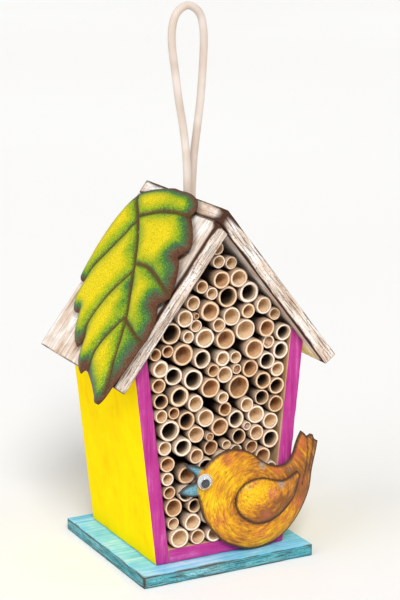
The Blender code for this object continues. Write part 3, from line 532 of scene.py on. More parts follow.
def makeHouse():
    across, deep, high = Vector((1, 0, 0)), Vector((0, 1, 0)), Vector((0, 0, 1))
    pine = paintedPine("barePine", bareWood)
    yellow = paintedPine("yellowAcrylicPaint", yellowPaint)
    magenta = paintedPine("magentaAcrylicPaint", magentaPaint)
    magentaFloor = paintedPine("magentaFloorPaint", dict(magentaPaint, turn=sideways))
    blue = paintedPine("skyBlueAcrylicPaint", bluePaint)
    blueWorn = paintedPine("wornBlueEdge", blueEdge)
    blueWornSide = paintedPine("wornBlueSideEdge", dict(blueEdge, turn=(math.radians(90), 0, 0)))

    def baseFace(normal):
        return 0 if abs(normal.z) > 0.7 else 1 if abs(normal.y) > 0.7 else 2

    def wallFace(outward):
        return lambda normal: 1 if normal.y < -0.6 else 0 if normal.x * outward > 0.5 or normal.y > 0.6 else 2

    def roofFace(down):
        return lambda normal: 1 if abs(normal.y) > 0.6 else 2 if normal.dot(down) < -0.6 else 0

    level = (across, deep, high)
    makeBoard("baseBoard", "base_board", "blue_paint", [blue, blueWorn, blueWornSide], baseFace, level)
    makeBoard("floorBoard", "floor_board", "magenta_paint", [magentaFloor, pine],
              lambda normal: 0 if normal.y < -0.6 else 1, level)
    for side, outward in (("left", -1), ("right", 1)):
        makeBoard(side + "Wall", "side_wall_" + side, "yellow_paint", [yellow, magenta, pine],
                  wallFace(outward), level)
    makeBoard("backPanel", "back_panel", "yellow_paint", [yellow, pine],
              lambda normal: 0 if normal.y > 0.5 else 1, level)
    for side, outward in (("left", -1), ("right", 1)):
        turn = (0, slope * outward, 0)
        top = paintedPine(side + "RoofWhitewash", dict(whitewash, turn=turn))
        edge = paintedPine(side + "RoofEdgeWhitewash", dict(roofEdge, turn=turn))
        ridge = paintedPine(side + "RidgeWhitewash", dict(ridgeEdge, turn=(math.radians(90), 0, 0)))
        down, out = roofWays(outward)
        roof = makeBoard(side + "RoofBoard", "roof_board_" + side, "whitewashed_wood", [top, edge, ridge],
                         roofFace(down), (down, deep, out * outward))
        place = Matrix.Translation((*boards["holeCentre"], cadBox[0].z + boards["holeStart"]))
        bore = [(0, 0), (boards["holeRadius"], 0), (boards["holeRadius"], boards["holeLength"]),
                (0, boards["holeLength"])]
        drill(roof, [makeCutter(side + "CordDrill", bore, place)])
    print("boards made")


makeHouse()


# Bamboo canes

canes = {
    "sides": 36, "oval": 0.035, "rough": 0.06, "wallShare": 0.13, "nodeDepth": 40 * mm, "pithDepth": 5 * mm,
    "chamfer": 0.25 * mm, "mouthDepth": 0.8 * mm, "mouthFlare": 0.12 * mm,
    # depths behind the mouth where the painted shade is full: on the skins, in closed bores and in open bores
    "skinShadeDepth": 9 * mm, "boreShadeDepth": 60 * mm, "openShadeDepth": 5 * mm,
    # the floor of a bore: shares of its radius, and millimetres past the node or down from the mouth
    "node": [(0, 0.6), (0.35, 0.5), (0.75, 0.1), (0.97, -0.8)],
    "pith": [(0, 0.8), (0.3, 1.5), (0.55, 0.7), (0.8, 1.9), (0.97, 2.2)],
    "openRings": (20, 7, 3.2), "skinRings": (4, 9, 15),  # millimetres from the mouth
    "saw": 0.16 * mm, "sawGrain": 1.6 * mm, "sawTilt": 0.02,
    "flake": 1.1 * mm, "flakeLift": 0.6 * mm, "flakeGrain": 0.9 * mm,
    "nodeRough": 0.8 * mm, "nodeGrain": 1.5 * mm,
}


def bambooEnd():
    # sawn bamboo seen end on: cream fibres, a darker skin line outside and a browner one at the bore
    material, shader, place = newMaterial("sawnBambooEnd", 0.7)
    wall = addNode(material, "Attribute", {"attribute_name": "wall"}).outputs["Fac"]
    tint = addNode(material, "Attribute", {"attribute_name": "tint"}).outputs["Fac"]
    fibre = addNode(material, "TexNoise", {"Scale": 2200.0, "Detail": 3.0}, {"Vector": place})
    smear = addNode(material, "TexNoise", {"Scale": 260.0, "Detail": 3.0}, {"Vector": place})
    across = addNode(material, "Math", {"operation": "MULTIPLY_ADD", 1: 0.3}, {0: smear, 2: wall})
    tone = addNode(material, "ValToRGB", {"stops": [
        (0.1, "#A87A54"), (0.24, "#F0DCC4"), (0.6, "#FDF3E6"), (0.94, "#F6E6D4"), (1.0, "#B08E72")]},
        {"Fac": across})
    shade = addNode(material, "ValToRGB", {"stops": [(0.0, "#E9D5BA"), (0.5, "#F8EDDC"), (1.0, "#FFFFFF")]},
                    {"Fac": tint})
    dot = addNode(material, "ValToRGB", {"stops": [(0.36, "#B98F66"), (0.5, "#FFFFFF")]}, {"Fac": fibre})
    toned = addNode(material, "Mix", {"data_type": "RGBA", "blend_type": "MULTIPLY", "Factor": 1.0},
                    {"A": tone, "B": shade})
    colour = addNode(material, "Mix", {"data_type": "RGBA", "blend_type": "MULTIPLY", "Factor": 0.5},
                     {"A": toned, "B": dot})
    bump = addNode(material, "Bump", {"Strength": 0.5, "Distance": 0.0002}, {"Height": fibre})
    connect(shader, {"Base Color": colour, "Normal": bump})
    return material


def bambooSkin(name, tones, streakTone, roughness):
    # dried bamboo along its length: satin, with long fibres about half a millimetre apart
    material, shader, place = newMaterial(name, roughness)
    tint = addNode(material, "Attribute", {"attribute_name": "tint"}).outputs["Fac"]
    drawn = addNode(material, "Mapping", {"Scale": (1000, 45, 1000)}, {"Vector": place})
    cloud = addNode(material, "TexNoise", {"Scale": 90.0, "Detail": 4.0}, {"Vector": place})
    fibre = addNode(material, "TexNoise", {"Scale": 1.6, "Detail": 4.0, "Roughness": 0.7}, {"Vector": drawn})
    deep = addNode(material, "Attribute", {"attribute_name": "deep"}).outputs["Fac"]
    sweep = addNode(material, "Math", {"operation": "MULTIPLY_ADD", 1: 0.55}, {0: tint, 2: cloud})
    tone = addNode(material, "ValToRGB", {"stops": tones}, {"Fac": sweep})
    streak = addNode(material, "MapRange", {"From Min": 0.52, "From Max": 0.75, "To Max": 0.7},
                     {"Value": fibre})
    streaked = addNode(material, "Mix", {"data_type": "RGBA", "B": hexToLinear(streakTone)},
                       {"Factor": streak, "A": tone})
    dust = addNode(material, "MapRange", {"interpolation_type": "SMOOTHSTEP", "To Max": 0.96},
                   {"Value": deep})  # painted shade: it gets darker away from the mouth, between the canes and down the bores
    # painted shade: towards a near-black brown, deeper behind the mouth
    colour = addNode(material, "Mix", {"data_type": "RGBA", "B": hexToLinear("#2A1A10")},
                     {"Factor": dust, "A": streaked})
    bump = addNode(material, "Bump", {"Strength": 0.35, "Distance": 0.0003}, {"Height": fibre})
    connect(shader, {"Base Color": colour, "Normal": bump})
    return material


def faceIslands(bm, direction):  # flat patches that face one way along Y, each as its own vertices
    facing = [f for f in bm.faces if f.normal.y * direction > 0.99]
    waiting = set(facing)
    islands = []
    for first in facing:
        if first not in waiting:
            continue
        waiting.discard(first)
        patch, edge = {first}, [first]
        while edge:
            face = edge.pop()
            near = {g for v in face.verts for g in v.link_faces if g in waiting}
            waiting -= near
            patch |= near
            edge.extend(near)
        verts = inOrder(bm.verts, {v for f in patch for v in f.verts})
        islands.append([v.co.copy() for v in verts])
    return islands


def readCanes(node):  # the middle, radius, bore depth and length of each cane of a CAD node
    bm = mergedCopy(node)
    bm.normal_update()
    mouths, bottoms, backs = [], [], []
    for points in faceIslands(bm, -1):
        middle = sum(points, Vector()) / len(points)
        reach = [math.hypot(p.x - middle.x, p.z - middle.z) for p in points]
        if 0.3 < min(reach) / max(reach) < 0.95:  # a ring, and not a disc
            mouths.append((middle, max(reach)))
        else:
            bottoms.append(middle)
    for points in faceIslands(bm, 1):
        backs.append(sum(points, Vector()) / len(points))
    bm.free()
    found = []
    for middle, outer in mouths:
        bottom = min(bottoms, key=lambda p: math.hypot(p.x - middle.x, p.z - middle.z))
        back = min(backs, key=lambda p: math.hypot(p.x - middle.x, p.z - middle.z))
        found.append({"middle": middle, "outer": outer, "depth": bottom.y - middle.y,
                      "length": back.y - middle.y})
    return sorted(found, key=lambda cane: (round(cane["middle"].z, 4), round(cane["middle"].x, 4)))


def caneProfile(cane, outer, bore):
    pith, deep = cane["depth"] < canes["pithDepth"], cane["depth"] > canes["nodeDepth"]
    start = 0 if pith else cane["depth"]
    bottom = [(share * bore, start + height * mm) for share, height in canes["pith" if pith else "node"]]
    depth = canes["pith"][-1][1] * mm if pith else cane["depth"]
    rings = [ring * mm for ring in canes["openRings"]] if deep else (depth * 0.6, depth * 0.3)
    lip = canes["chamfer"]
    mouth = [(bore, canes["mouthDepth"]), (bore + canes["mouthFlare"], 0.05 * mm), ((bore + outer) / 2, 0),
             (outer - lip, 0.02 * mm), (outer, lip)]
    skin = [(outer, ring * mm) for ring in canes["skinRings"]]
    return (bottom + [(bore, ring) for ring in rings] + mouth + skin
            + [(outer, cane["length"]), (0, cane["length"])]), pith, deep


def addCane(bm, cane, number):
    outer, middle, length = cane["outer"], cane["middle"], cane["length"]
    wall = outer * 2 * canes["wallShare"] * (0.97 + 0.5 * noise.noise(Vector((number * 1.7, 3, 5))))
    bore = outer - wall
    between = (bore + outer) / 2
    profile, pith, deep = caneProfile(cane, outer, bore)
    place = Matrix.Translation(middle) @ Matrix.Rotation(-math.pi / 2, 4, "X")
    verts, faces = turnProfile(bm, profile, place, canes["sides"])
    tintLayer, wallLayer, shadeDepthLayer = (bm.verts.layers.float[key] for key in ("tint", "wall", "deep"))
    tint = 0.5 + 0.5 * math.sin(number * 2.399 + 0.6)  # the golden angle, so that neighbours differ
    boreShadeDepth = canes["openShadeDepth"] if deep else canes["boreShadeDepth"] * (0.35 + 0.65 * tint)
    for vert in verts:
        offset = vert.co - middle
        radius = math.hypot(offset.x, offset.z)
        vert[tintLayer] = tint
        vert[wallLayer] = max(0.0, min(1.0, (radius - bore) / (outer - bore)))
        # painted shade: the share of the depth at which the skin or bore is fully darkened
        dark = canes["skinShadeDepth"] if radius > between else boreShadeDepth
        vert[shadeDepthLayer] = min(1.0, max(0.0, offset.y / dark))
        angle = math.atan2(offset.z, offset.x)
        if radius > 0.05 * mm:
            inside = radius < outer - 0.01 * mm
            oval = canes["oval"] * (math.cos(2 * (angle - number * 1.1)) - 1) / 2
            rough = noise.noise(Vector((math.cos(angle) * 1.3, math.sin(angle) * 1.3, number * 3.1)))
            scale = 1 + oval + (rough * canes["rough"] if inside else 0)
            vert.co.x = middle.x + offset.x * scale
            vert.co.z = middle.z + offset.z * scale
        if offset.y < 0.5 * mm and radius > bore * 0.95:
            saw = noise.noise(Vector((offset.x, offset.z, number * mm)) / canes["sawGrain"])
            vert.co.y += saw * canes["saw"] + canes["sawTilt"] * offset.x * math.sin(number)
        if pith and radius < bore * 0.9 and offset.y < 4 * mm:
            flake = noise.noise(Vector((offset.x, offset.z, number * 2 * mm)) / canes["flakeGrain"])
            vert.co.y += flake * canes["flake"] + canes["flakeLift"]
        elif not deep and radius < bore * 0.9 and offset.y < length - mm:
            vert.co.y += noise.noise(vert.co / canes["nodeGrain"]) * canes["nodeRough"]
    sawn, skin, inner = 0, 1, 2
    for face in faces:
        centre = face.calc_center_median() - middle
        radius = math.hypot(centre.x, centre.z)
        if centre.y < 0.5 * mm and radius > bore * 0.96:
            face.material_index = sawn
        elif radius > between or centre.y > length - mm:
            face.material_index = skin
        else:
            face.material_index = sawn if pith else inner


def makeCanes():
    materials = [
        bambooEnd(),
        bambooSkin("bambooSkin", [(0.3, "#7E6450"), (0.6, "#B0927A"), (0.9, "#D2B89E")], "#6A4E3C", 0.55),
        bambooSkin("bambooBore", [(0.3, "#B27A48"), (0.6, "#DCAC7C"), (0.9, "#F2D6B0")], "#9A6238", 0.7)]
    number = 0
    for node in sorted(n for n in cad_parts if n.startswith("cane_bundle_")):
        bm = bmesh.new()
        for key in ("tint", "wall", "deep"):
            bm.verts.layers.float.new(key)
        for cane in readCanes(node):
            addCane(bm, cane, number)
            number += 1
        placePiece("caneBundle" + node[-2:], bm, materials, "cane", [node])
    print("%d canes made" % number)


makeCanes()


# Enamelled sheet steel: the leaf and the bird

sheetSettings = {"sharpTurn": 38, "dentGrain": 9 * mm, "strokeTurns": 3.0, "strokeReach": 0.55}
leafSettings = {
    "grid": 1.1 * mm, "thickness": 0.8 * mm, "crown": 4.0 * mm, "crownWidth": 14 * mm, "lift": 3.8 * mm,
    "step": 1.6 * mm, "rim": 0.22 * mm, "dents": 0.15 * mm, "veinDepth": 1.7 * mm, "veinWidth": 1.9 * mm,
    "veinEnd": 3 * mm, "puff": 1.1 * mm, "puffWidth": 7 * mm, "puffEnd": 6 * mm,
    "veinHalo": 7.5, "veinClear": 0.95,  # the yellow comes back away from a vein
    # dabs of paint: across, down the slope, reach in millimetres, and how far towards yellow
    "dabs": [(20, 8, 10, 3.5), (-15, 38, 11, 4), (-32, 72, 8, 3.5), (18, 78, 9, 3), (50, 50, 6, 3),
             (38, 30, 6, 2), (-38, 116, 7, 3.5), (2, 92, 8, 2), (-14, 70, 6, -4), (-18, 84, 7, -5),
             (20, 62, 5, -4), (10, 50, 5, -3), (-22, 8, 8, 1), (-44, 78, 8, 0.5), (-30, 45, 7, -1),
             (-16, 122, 6, -1.5), (-30, 110, 6, 2.5),
             (-47, 122, 6, 2.5), (-53, 130, 6, 2.5), (-46, 108, 6, 2), (-10, 104, 7, 2), (-20, 30, 9, 1.5),
             (-50, 50, 6, 1)],
    "shadeSide": (-0.85, 0.5),  # the airbrushed shadow is widest here: across the board, down its slope
    "shadeNarrow": 0.55, "shadeWide": 1.2,
    "veins": [  # (across the board, down its slope) in millimetres
        [(43, 15), (30, 23), (22, 29), (10, 39), (-4, 53), (-19, 70), (-33, 86), (-44, 103), (-53, 121),
         (-56, 132)],
        [(25, 26), (12, 21), (1, 17.5), (-14, 15), (-28, 13.5)],
        [(23, 29), (30, 46), (38, 63), (43, 78)],
        [(-8, 61), (2, 80), (4.5, 101), (1.5, 115)],
        [(-32, 87), (-24, 106), (-24, 125)],
        [(-8, 54), (-24, 53.5), (-46, 59), (-60, 64.5)],
        [(-33, 88), (-51, 93), (-63, 97)]],
}
birdSettings = {
    "grid": 1.0 * mm, "thickness": 0.8 * mm, "crown": 4.0 * mm, "crownWidth": 13 * mm, "lift": 4.4 * mm,
    "step": 1.5 * mm, "rim": 0.22 * mm, "dents": 0, "front": -46 * mm,
    "headMiddle": (1, 58), "headRadius": 20, "beakLeft": -10, "beakLow": 50.5, "beakBlend": 0.8,
    "tailDepth": 0.5 * mm, "tailWidth": 0.8 * mm, "tailLine": 0.7 * mm, "strokeMiddle": (20, 43),
    "warmth": {"middle": (-6, 54), "start": 12, "reach": 100, "least": 0.2, "most": 0.5},
    # painted shadow: the body is warmed and darkened beside the wing, on its lower left
    "wingShadow": 0.7, "wingShadowReach": 2.2 * mm, "wingShadowSide": (0.75, 0.65), "wingShadowStart": 0.35,
    # touches of the brush: across, up, reach in millimetres, and how strong
    # the lightening touches low on the body are partly painted light, lifting the shade where the crown turns
    # down
    "darker": [(-12, 45, 9, -0.35), (-4, 66, 9, -0.3), (8, 52, 7, -0.25), (25, 68, 8, 0.2), (38, 62, 8, 0.15),
               (55, 60, 10, 0.25), (55, 42, 9, 0.2), (44, 24, 8, -0.3), (10, 14, 8, 0.2), (-17, 36, 5, 0.3),
               (2, 78, 7, 0.4), (16, 33, 6, 0.25), (24, 12, 8, 0.1), (30, 22, 8, -0.15), (59, 68, 4, -0.3),
               (26, 16, 12, -0.5), (46, 34, 9, -0.35), (4, 24, 8, -0.2)],
    "rose": [(2, 71, 5, 1), (-5, 33, 6, 0.9), (25, 20, 7, 0.8), (38, 61, 5, 0.9), (50, 68, 6, 0.9),
             (56, 76, 5, 0.8), (56, 50, 6, 0.7), (52, 36, 6, 0.9), (44, 27, 5, 0.5), (12, 76, 4, 0.6)],
    "mist": [(27, 65, 4, 0.9), (-2, 79, 4, 0.6), (46, 58, 3, 0.5)],
    "tailLines": [[(60, 79), (59, 70), (58, 60), (55, 48)], [(64.5, 77), (62.5, 68), (60.5, 56)]],
}
goldTones = [(0.0, "#F6CC08"), (0.28, "#E8B010"), (0.5, "#D89418"), (0.75, "#B87420"), (1.0, "#845024")]
wingSettings = {
    "grid": 0.8 * mm, "thickness": 0.8 * mm, "crown": 2.6 * mm, "crownWidth": 9 * mm, "lift": 9.5 * mm,
    "step": 1.2 * mm, "rim": 0.2 * mm, "dents": 0, "strokeMiddle": (24, 52),
    "warmth": {"middle": (14, 50), "start": 6, "reach": 70, "least": 0.22, "most": 0.6},
    # painted shade on the wing's lower right: its direction, the warmth it adds, and how the dark rim widens
    # there
    "lowSide": (0.5, -0.85), "lowWarm": 0.15, "rimNarrow": 0.8, "rimWide": 0.9,
    "darker": [(20, 49, 8, -0.4), (11, 46, 5, -0.1), (34, 42, 9, 0.1), (24, 32, 8, 0.4), (40, 40, 7, 0.2)],
    "rose": [(31, 47, 5, 0.9), (18, 57, 5, 0.7), (26, 33, 6, 0.6), (42, 54, 4, 0.5)],
    "mist": [(38, 52, 4, 0.8), (14, 53, 3, 0.6), (22, 40, 4, 0.3)],
}


def rimOutline(node, place):  # the outline of a sheet's front skin, in its own frame's X and Y
    bm = mergedCopy(node)
    bmesh.ops.transform(bm, matrix=place.inverted(), verts=bm.verts[:])
    bm.normal_update()
    edges = {e for e in bm.edges if len(e.link_faces) == 2
             and min(abs(f.normal.z) for f in e.link_faces) < 0.1
             and max(f.normal.z for f in e.link_faces) > 0.3}
    start = min((v for e in edges for v in e.verts), key=lambda v: (v.co.x, v.co.y))
    loop = [start]
    while edges:
        edge = next((e for e in loop[-1].link_edges if e in edges), None)
        if edge is None:
            break
        edges.discard(edge)
        loop.append(edge.other_vert(loop[-1]))
    points = [Vector((v.co.x, v.co.y)) for v in loop[:-1]]
    bm.free()
    kept = []
    for before, point, after in zip(points[-1:] + points, points, points[1:] + points[:1]):
        if (point - before).angle(after - point, 0) > math.radians(1.5):
            kept.append(point)
    area = sum(a.x * b.y - b.x * a.y for a, b in zip(kept, kept[1:] + kept[:1]))
    return kept if area > 0 else kept[::-1]


def roundedOutline(points, step, sharpTurn):  # curves through shallow corners, and straight into sharp ones
    count = len(points)
    sharp, tangents = [], []
    for k in range(count):
        before, after = points[k] - points[k - 1], points[(k + 1) % count] - points[k]
        sharp.append(before.angle(after) > math.radians(sharpTurn))
        tangents.append((before.normalized() + after.normalized()).normalized())
    smooth = []
    for k in range(count):
        start, end = points[k], points[(k + 1) % count]
        run = end - start
        leave = run.normalized() if sharp[k] else tangents[k]
        arrive = run.normalized() if sharp[(k + 1) % count] else tangents[(k + 1) % count]
        pieces = max(1, round(run.length / step))
        for t in (j / pieces for j in range(pieces)):
            smooth.append((2 * t ** 3 - 3 * t ** 2 + 1) * start
                          + (t ** 3 - 2 * t ** 2 + t) * run.length * leave
                          + (3 * t ** 2 - 2 * t ** 3) * end
                          + (t ** 3 - t ** 2) * run.length * arrive)
    return smooth


def nearestOn(places, line):  # distance from each place to a line of points, and the way to it
    best = np.full(len(places), 1e9)
    way = np.zeros_like(places)
    for start, end in zip(line, line[1:]):
        start, run = np.array(start), np.array(end) - np.array(start)
        share = np.clip(((places - start) @ run) / max(run @ run, 1e-18), 0, 1)
        offset = start + share[:, None] * run - places
        gap = np.hypot(offset[:, 0], offset[:, 1])
        closer = gap < best
        best[closer] = gap[closer]
        way[closer] = offset[closer]
    return best, way / np.maximum(best, 1e-9)[:, None]


def wayToRim(places, outline, reach=7 * mm):  # the smoothed direction towards the nearest stretch of rim
    total, weights = np.zeros_like(places), np.zeros(len(places))
    for point in outline:
        offset = np.array(point) - places
        gap = np.maximum(np.hypot(offset[:, 0], offset[:, 1]), 1e-6)
        weight = np.exp(-gap / reach)
        total += offset / gap[:, None] * weight[:, None]
        weights += weight
    return total / weights[:, None]


def dabs(places, spots):  # soft round touches of the brush, added up
    total = np.zeros(len(places))
    for x, y, reach, amount in spots:
        gap = np.hypot(places[:, 0] / mm - x, places[:, 1] / mm - y)
        total += amount * np.exp(-(gap / reach) ** 2)
    return total


def flatSheet(outline, grid):  # a flat face cut into a fine grid
    bm = bmesh.new()
    bm.faces.new([bm.verts.new((p.x, p.y, 0)) for p in outline])
    for axis in (0, 1):
        low, high = min(p[axis] for p in outline), max(p[axis] for p in outline)
        count = math.ceil((high - low) / grid)
        for k in range(1, count):
            place, normal = [0, 0, 0], [0, 0, 0]
            place[axis] = low + (high - low) * k / count
            normal[axis] = 1
            bmesh.ops.bisect_plane(bm, geom=bm.verts[:] + bm.edges[:] + bm.faces[:], dist=0.02 * mm,
                                   plane_co=place, plane_no=normal)
    bmesh.ops.triangulate(bm, faces=[f for f in bm.faces if len(f.verts) > 4])
    return bm


def closeSheet(bm, thickness, rounding):  # gives the skin its thickness and a rounded rim
    bm.normal_update()
    copied = bmesh.ops.duplicate(bm, geom=bm.verts[:] + bm.edges[:] + bm.faces[:])["geom"]
    for vert in [v for v in copied if isinstance(v, bmesh.types.BMVert)]:
        vert.co.z -= thickness
    bmesh.ops.reverse_faces(bm, faces=[f for f in copied if isinstance(f, bmesh.types.BMFace)])
    rims = [e for e in bm.edges if e.is_boundary]
    bmesh.ops.bridge_loops(bm, edges=rims)
    bmesh.ops.bevel(bm, geom=rims, offset=rounding, segments=2, profile=0.5, affect="EDGES", material=-1,
                    clamp_overlap=True)
    bmesh.ops.recalc_face_normals(bm, faces=bm.faces[:])


def addLayers(bm, values):
    for name, column in values.items():
        layer = bm.verts.layers.float.new(name)
        for vert, value in zip(bm.verts, column):
            vert[layer] = float(value)


def crowned(gap, crown, width):
    return crown * (1 - (1 - np.minimum(1, gap / width)) ** 2)


def leafEnamel():
    # airbrushed enamel on pressed steel: yellow lobes fade through green and teal to brown rims and veins
    material, shader, place = newMaterial("leafEnamel", 0.45, {"Specular IOR Level": 0.2})
    rim = addNode(material, "Attribute", {"attribute_name": "rimFade"}).outputs["Fac"]
    vein = addNode(material, "Attribute", {"attribute_name": "veinGap"}).outputs["Fac"]
    scaled = addNode(material, "Mapping", {"Scale": (1000, 1000, 1000)}, {"Vector": place})
    spray, cloud, far, grit = (
        addNode(material, "TexNoise", {"Scale": scale, "Detail": detail, "Roughness": rough},
                {"Vector": scaled})
        for scale, detail, rough in ((1.1, 4.0, 0.75), (0.06, 3.0, 0.6), (0.3, 4.0, 0.7), (1.7, 3.0, 0.8)))
    wide = addNode(material, "Math", {"operation": "MULTIPLY_ADD", 1: 19.0}, {0: spray, 2: rim})
    clouded = addNode(material, "Math", {"operation": "MULTIPLY_ADD", 1: 7.0}, {0: cloud, 2: wide})
    dabbed = addNode(material, "Math", {"operation": "MULTIPLY_ADD", 1: 4.0}, {0: far, 2: clouded})
    share = addNode(material, "MapRange", {"From Min": 15.5, "From Max": 34.0}, {"Value": dabbed})
    tone = addNode(material, "ValToRGB", {"stops": [
        (0.0, "#5A3020"), (0.14, "#6A4430"), (0.21, "#565A44"), (0.28, "#38684A"), (0.38, "#447F34"),
        (0.5, "#80A61C"), (0.62, "#AABA12"), (0.78, "#D0C60A"), (1.0, "#F0D804")]}, {"Fac": share})
    edge = addNode(material, "Math", {"operation": "MULTIPLY_ADD", 1: 1.8}, {0: spray, 2: vein})
    line = addNode(material, "MapRange",
                   {"interpolation_type": "SMOOTHSTEP", "From Min": 1.3, "From Max": 3.6,
                    "To Min": 0.9, "To Max": 0.0}, {"Value": edge})
    colour = addNode(material, "Mix", {"data_type": "RGBA", "B": hexToLinear("#5E3A1E")},
                     {"Factor": line, "A": tone})
    soil = addNode(material, "MapRange", {"From Min": 0.53, "From Max": 0.38, "To Max": 0.85},
                   {"Value": grit})
    soiled = addNode(material, "Mix",
                     {"data_type": "RGBA", "blend_type": "MULTIPLY", "B": hexToLinear("#8C9A70")},
                     {"Factor": soil, "A": colour})
    dust = addNode(material, "MapRange", {"From Min": 0.56, "From Max": 0.72, "To Max": 0.4},
                   {"Value": grit})
    dusted = addNode(material, "Mix",
                     {"data_type": "RGBA", "blend_type": "SCREEN", "B": hexToLinear("#8A7A30")},
                     {"Factor": dust, "A": soiled})
    bump = addNode(material, "Bump", {"Strength": 0.2, "Distance": 0.0003}, {"Height": spray})
    connect(shader, {"Base Color": dusted, "Normal": bump})
    return material


def birdEnamel(name, tones, blushTone):
    # hand painted enamel on pressed steel: golden strokes that swirl round the body, with dark rubbed rims
    # and some painted shade
    material, shader, place = newMaterial(name, 0.5, {"Specular IOR Level": 0.25})
    rim = addNode(material, "Attribute", {"attribute_name": "rimGap"}).outputs["Fac"]
    warm = addNode(material, "Attribute", {"attribute_name": "warmth"}).outputs["Fac"]
    beak = addNode(material, "Attribute", {"attribute_name": "beak"}).outputs["Fac"]
    swirl = addNode(material, "Attribute", {"attribute_name": "swirl"}).outputs["Vector"]
    rose = addNode(material, "Attribute", {"attribute_name": "rose"}).outputs["Fac"]
    mist = addNode(material, "Attribute", {"attribute_name": "mist"}).outputs["Fac"]
    scaled = addNode(material, "Mapping", {"Scale": (1000, 1000, 1000)}, {"Vector": place})
    stroke, hair, cloud, grit = (
        addNode(material, "TexNoise", {"Scale": scale, "Detail": detail, "Roughness": rough},
                {"Vector": source})
        for scale, detail, rough, source in ((1.0, 4.0, 0.65, swirl), (2.6, 3.0, 0.7, swirl),
                                             (0.09, 4.0, 0.65, scaled), (1.3, 3.0, 0.7, scaled)))
    sweep = addNode(material, "Math", {"operation": "MULTIPLY_ADD", 1: 2.2},
                    {0: stroke, 2: warm})
    mottled = addNode(material, "Math", {"operation": "MULTIPLY_ADD", 1: 0.9}, {0: cloud, 2: sweep})
    share = addNode(material, "MapRange", {"From Min": 1.15, "From Max": 2.45}, {"Value": mottled})
    tone = addNode(material, "ValToRGB", {"stops": tones}, {"Fac": share})
    blushed = addNode(material, "Math", {"operation": "MULTIPLY_ADD", 1: 1.5}, {0: stroke, 2: rose})
    blush = addNode(material, "MapRange", {"From Min": 1.05, "From Max": 1.6, "To Max": 0.6},
                    {"Value": blushed})
    rosy = addNode(material, "Mix", {"data_type": "RGBA", "B": hexToLinear(blushTone)},
                   {"Factor": blush, "A": tone})
    greyed = addNode(material, "Math", {"operation": "MULTIPLY_ADD", 1: 1.2}, {0: grit, 2: mist})
    grey = addNode(material, "MapRange", {"From Min": 0.95, "From Max": 1.45, "To Max": 0.6},
                   {"Value": greyed})
    misty = addNode(material, "Mix", {"data_type": "RGBA", "B": hexToLinear("#97A9A4")},
                    {"Factor": grey, "A": rosy})
    scratch = addNode(material, "MapRange", {"From Min": 0.5, "From Max": 0.66, "To Max": 0.7},
                      {"Value": hair})
    scratched = addNode(material, "Mix", {"data_type": "RGBA", "B": hexToLinear("#7A4E22")},
                        {"Factor": scratch, "A": misty})
    blueTone = addNode(material, "ValToRGB", {"stops": [(0.34, "#37443E"), (0.43, "#4C8496"),
                                                        (0.6, "#86B4BE")]}, {"Fac": grit})
    beaked = addNode(material, "Mix", {"data_type": "RGBA"},
                     {"Factor": beak, "A": scratched, "B": blueTone})
    ragged = addNode(material, "Math", {"operation": "MULTIPLY_ADD", 1: -2.6}, {0: grit, 2: rim})
    dark = addNode(material, "MapRange",
                   {"interpolation_type": "SMOOTHSTEP", "From Min": -0.9, "From Max": 0.9,
                    "To Min": 0.92, "To Max": 0.0}, {"Value": ragged})
    colour = addNode(material, "Mix", {"data_type": "RGBA", "B": hexToLinear("#34241C")},
                     {"Factor": dark, "A": beaked})
    bump = addNode(material, "Bump", {"Strength": 0.3, "Distance": 0.0003}, {"Height": hair})
    connect(shader, {"Base Color": colour, "Normal": bump})
    return material


def nearestLine(places, lines):  # distance to the nearest of some smooth lines given in millimetres
    routes = [smoothRoute([Vector((x, y, 0)) * mm for x, y in line], 2 * mm)[0] for line in lines]
    return np.min([nearestOn(places, [p.to_2d() for p in route])[0] for route in routes], axis=0)


def strokeLayer(bm, middle):  # strokes run round a middle: slow along them and quick across
    layer = bm.verts.layers.float_vector.new("swirl")
    turns = sheetSettings["strokeTurns"]
    for vert in bm.verts:
        x, y = vert.co.x / mm - middle[0], vert.co.y / mm - middle[1]
        reach = max(math.hypot(x, y), 0.1)
        vert[layer] = (turns * x / reach, turns * y / reach, reach * sheetSettings["strokeReach"])


def warmthRound(places, warmth):  # the gold gets warmer away from a middle
    far = np.hypot(places[:, 0] / mm - warmth["middle"][0], places[:, 1] / mm - warmth["middle"][1])
    return warmth["least"] + np.clip((far - warmth["start"]) / warmth["reach"], 0, warmth["most"])


def pressedSheet(name, node, place, sheet, material, slot, shape):  # shape gives relief and paint layers
    outline = roundedOutline(rimOutline(node, place), sheet["step"], sheetSettings["sharpTurn"])
    bm = flatSheet(outline, sheet["grid"])
    places = np.array([(v.co.x, v.co.y) for v in bm.verts])
    rim, way = nearestOn(places, outline + outline[:1])
    relief, layers = shape(places, outline, rim, way)
    heights = sheet["lift"] + crowned(rim, sheet["crown"], sheet["crownWidth"]) + relief
    addLayers(bm, layers)
    if "strokeMiddle" in sheet:
        strokeLayer(bm, sheet["strokeMiddle"])
    for vert, height in zip(bm.verts, heights):
        vert.co.z = height + noise.noise(vert.co / sheetSettings["dentGrain"]) * sheet["dents"]
    closeSheet(bm, sheet["thickness"], sheet["rim"])
    bmesh.ops.transform(bm, matrix=place, verts=bm.verts[:])
    placePiece(name, bm, [material], slot, [node])


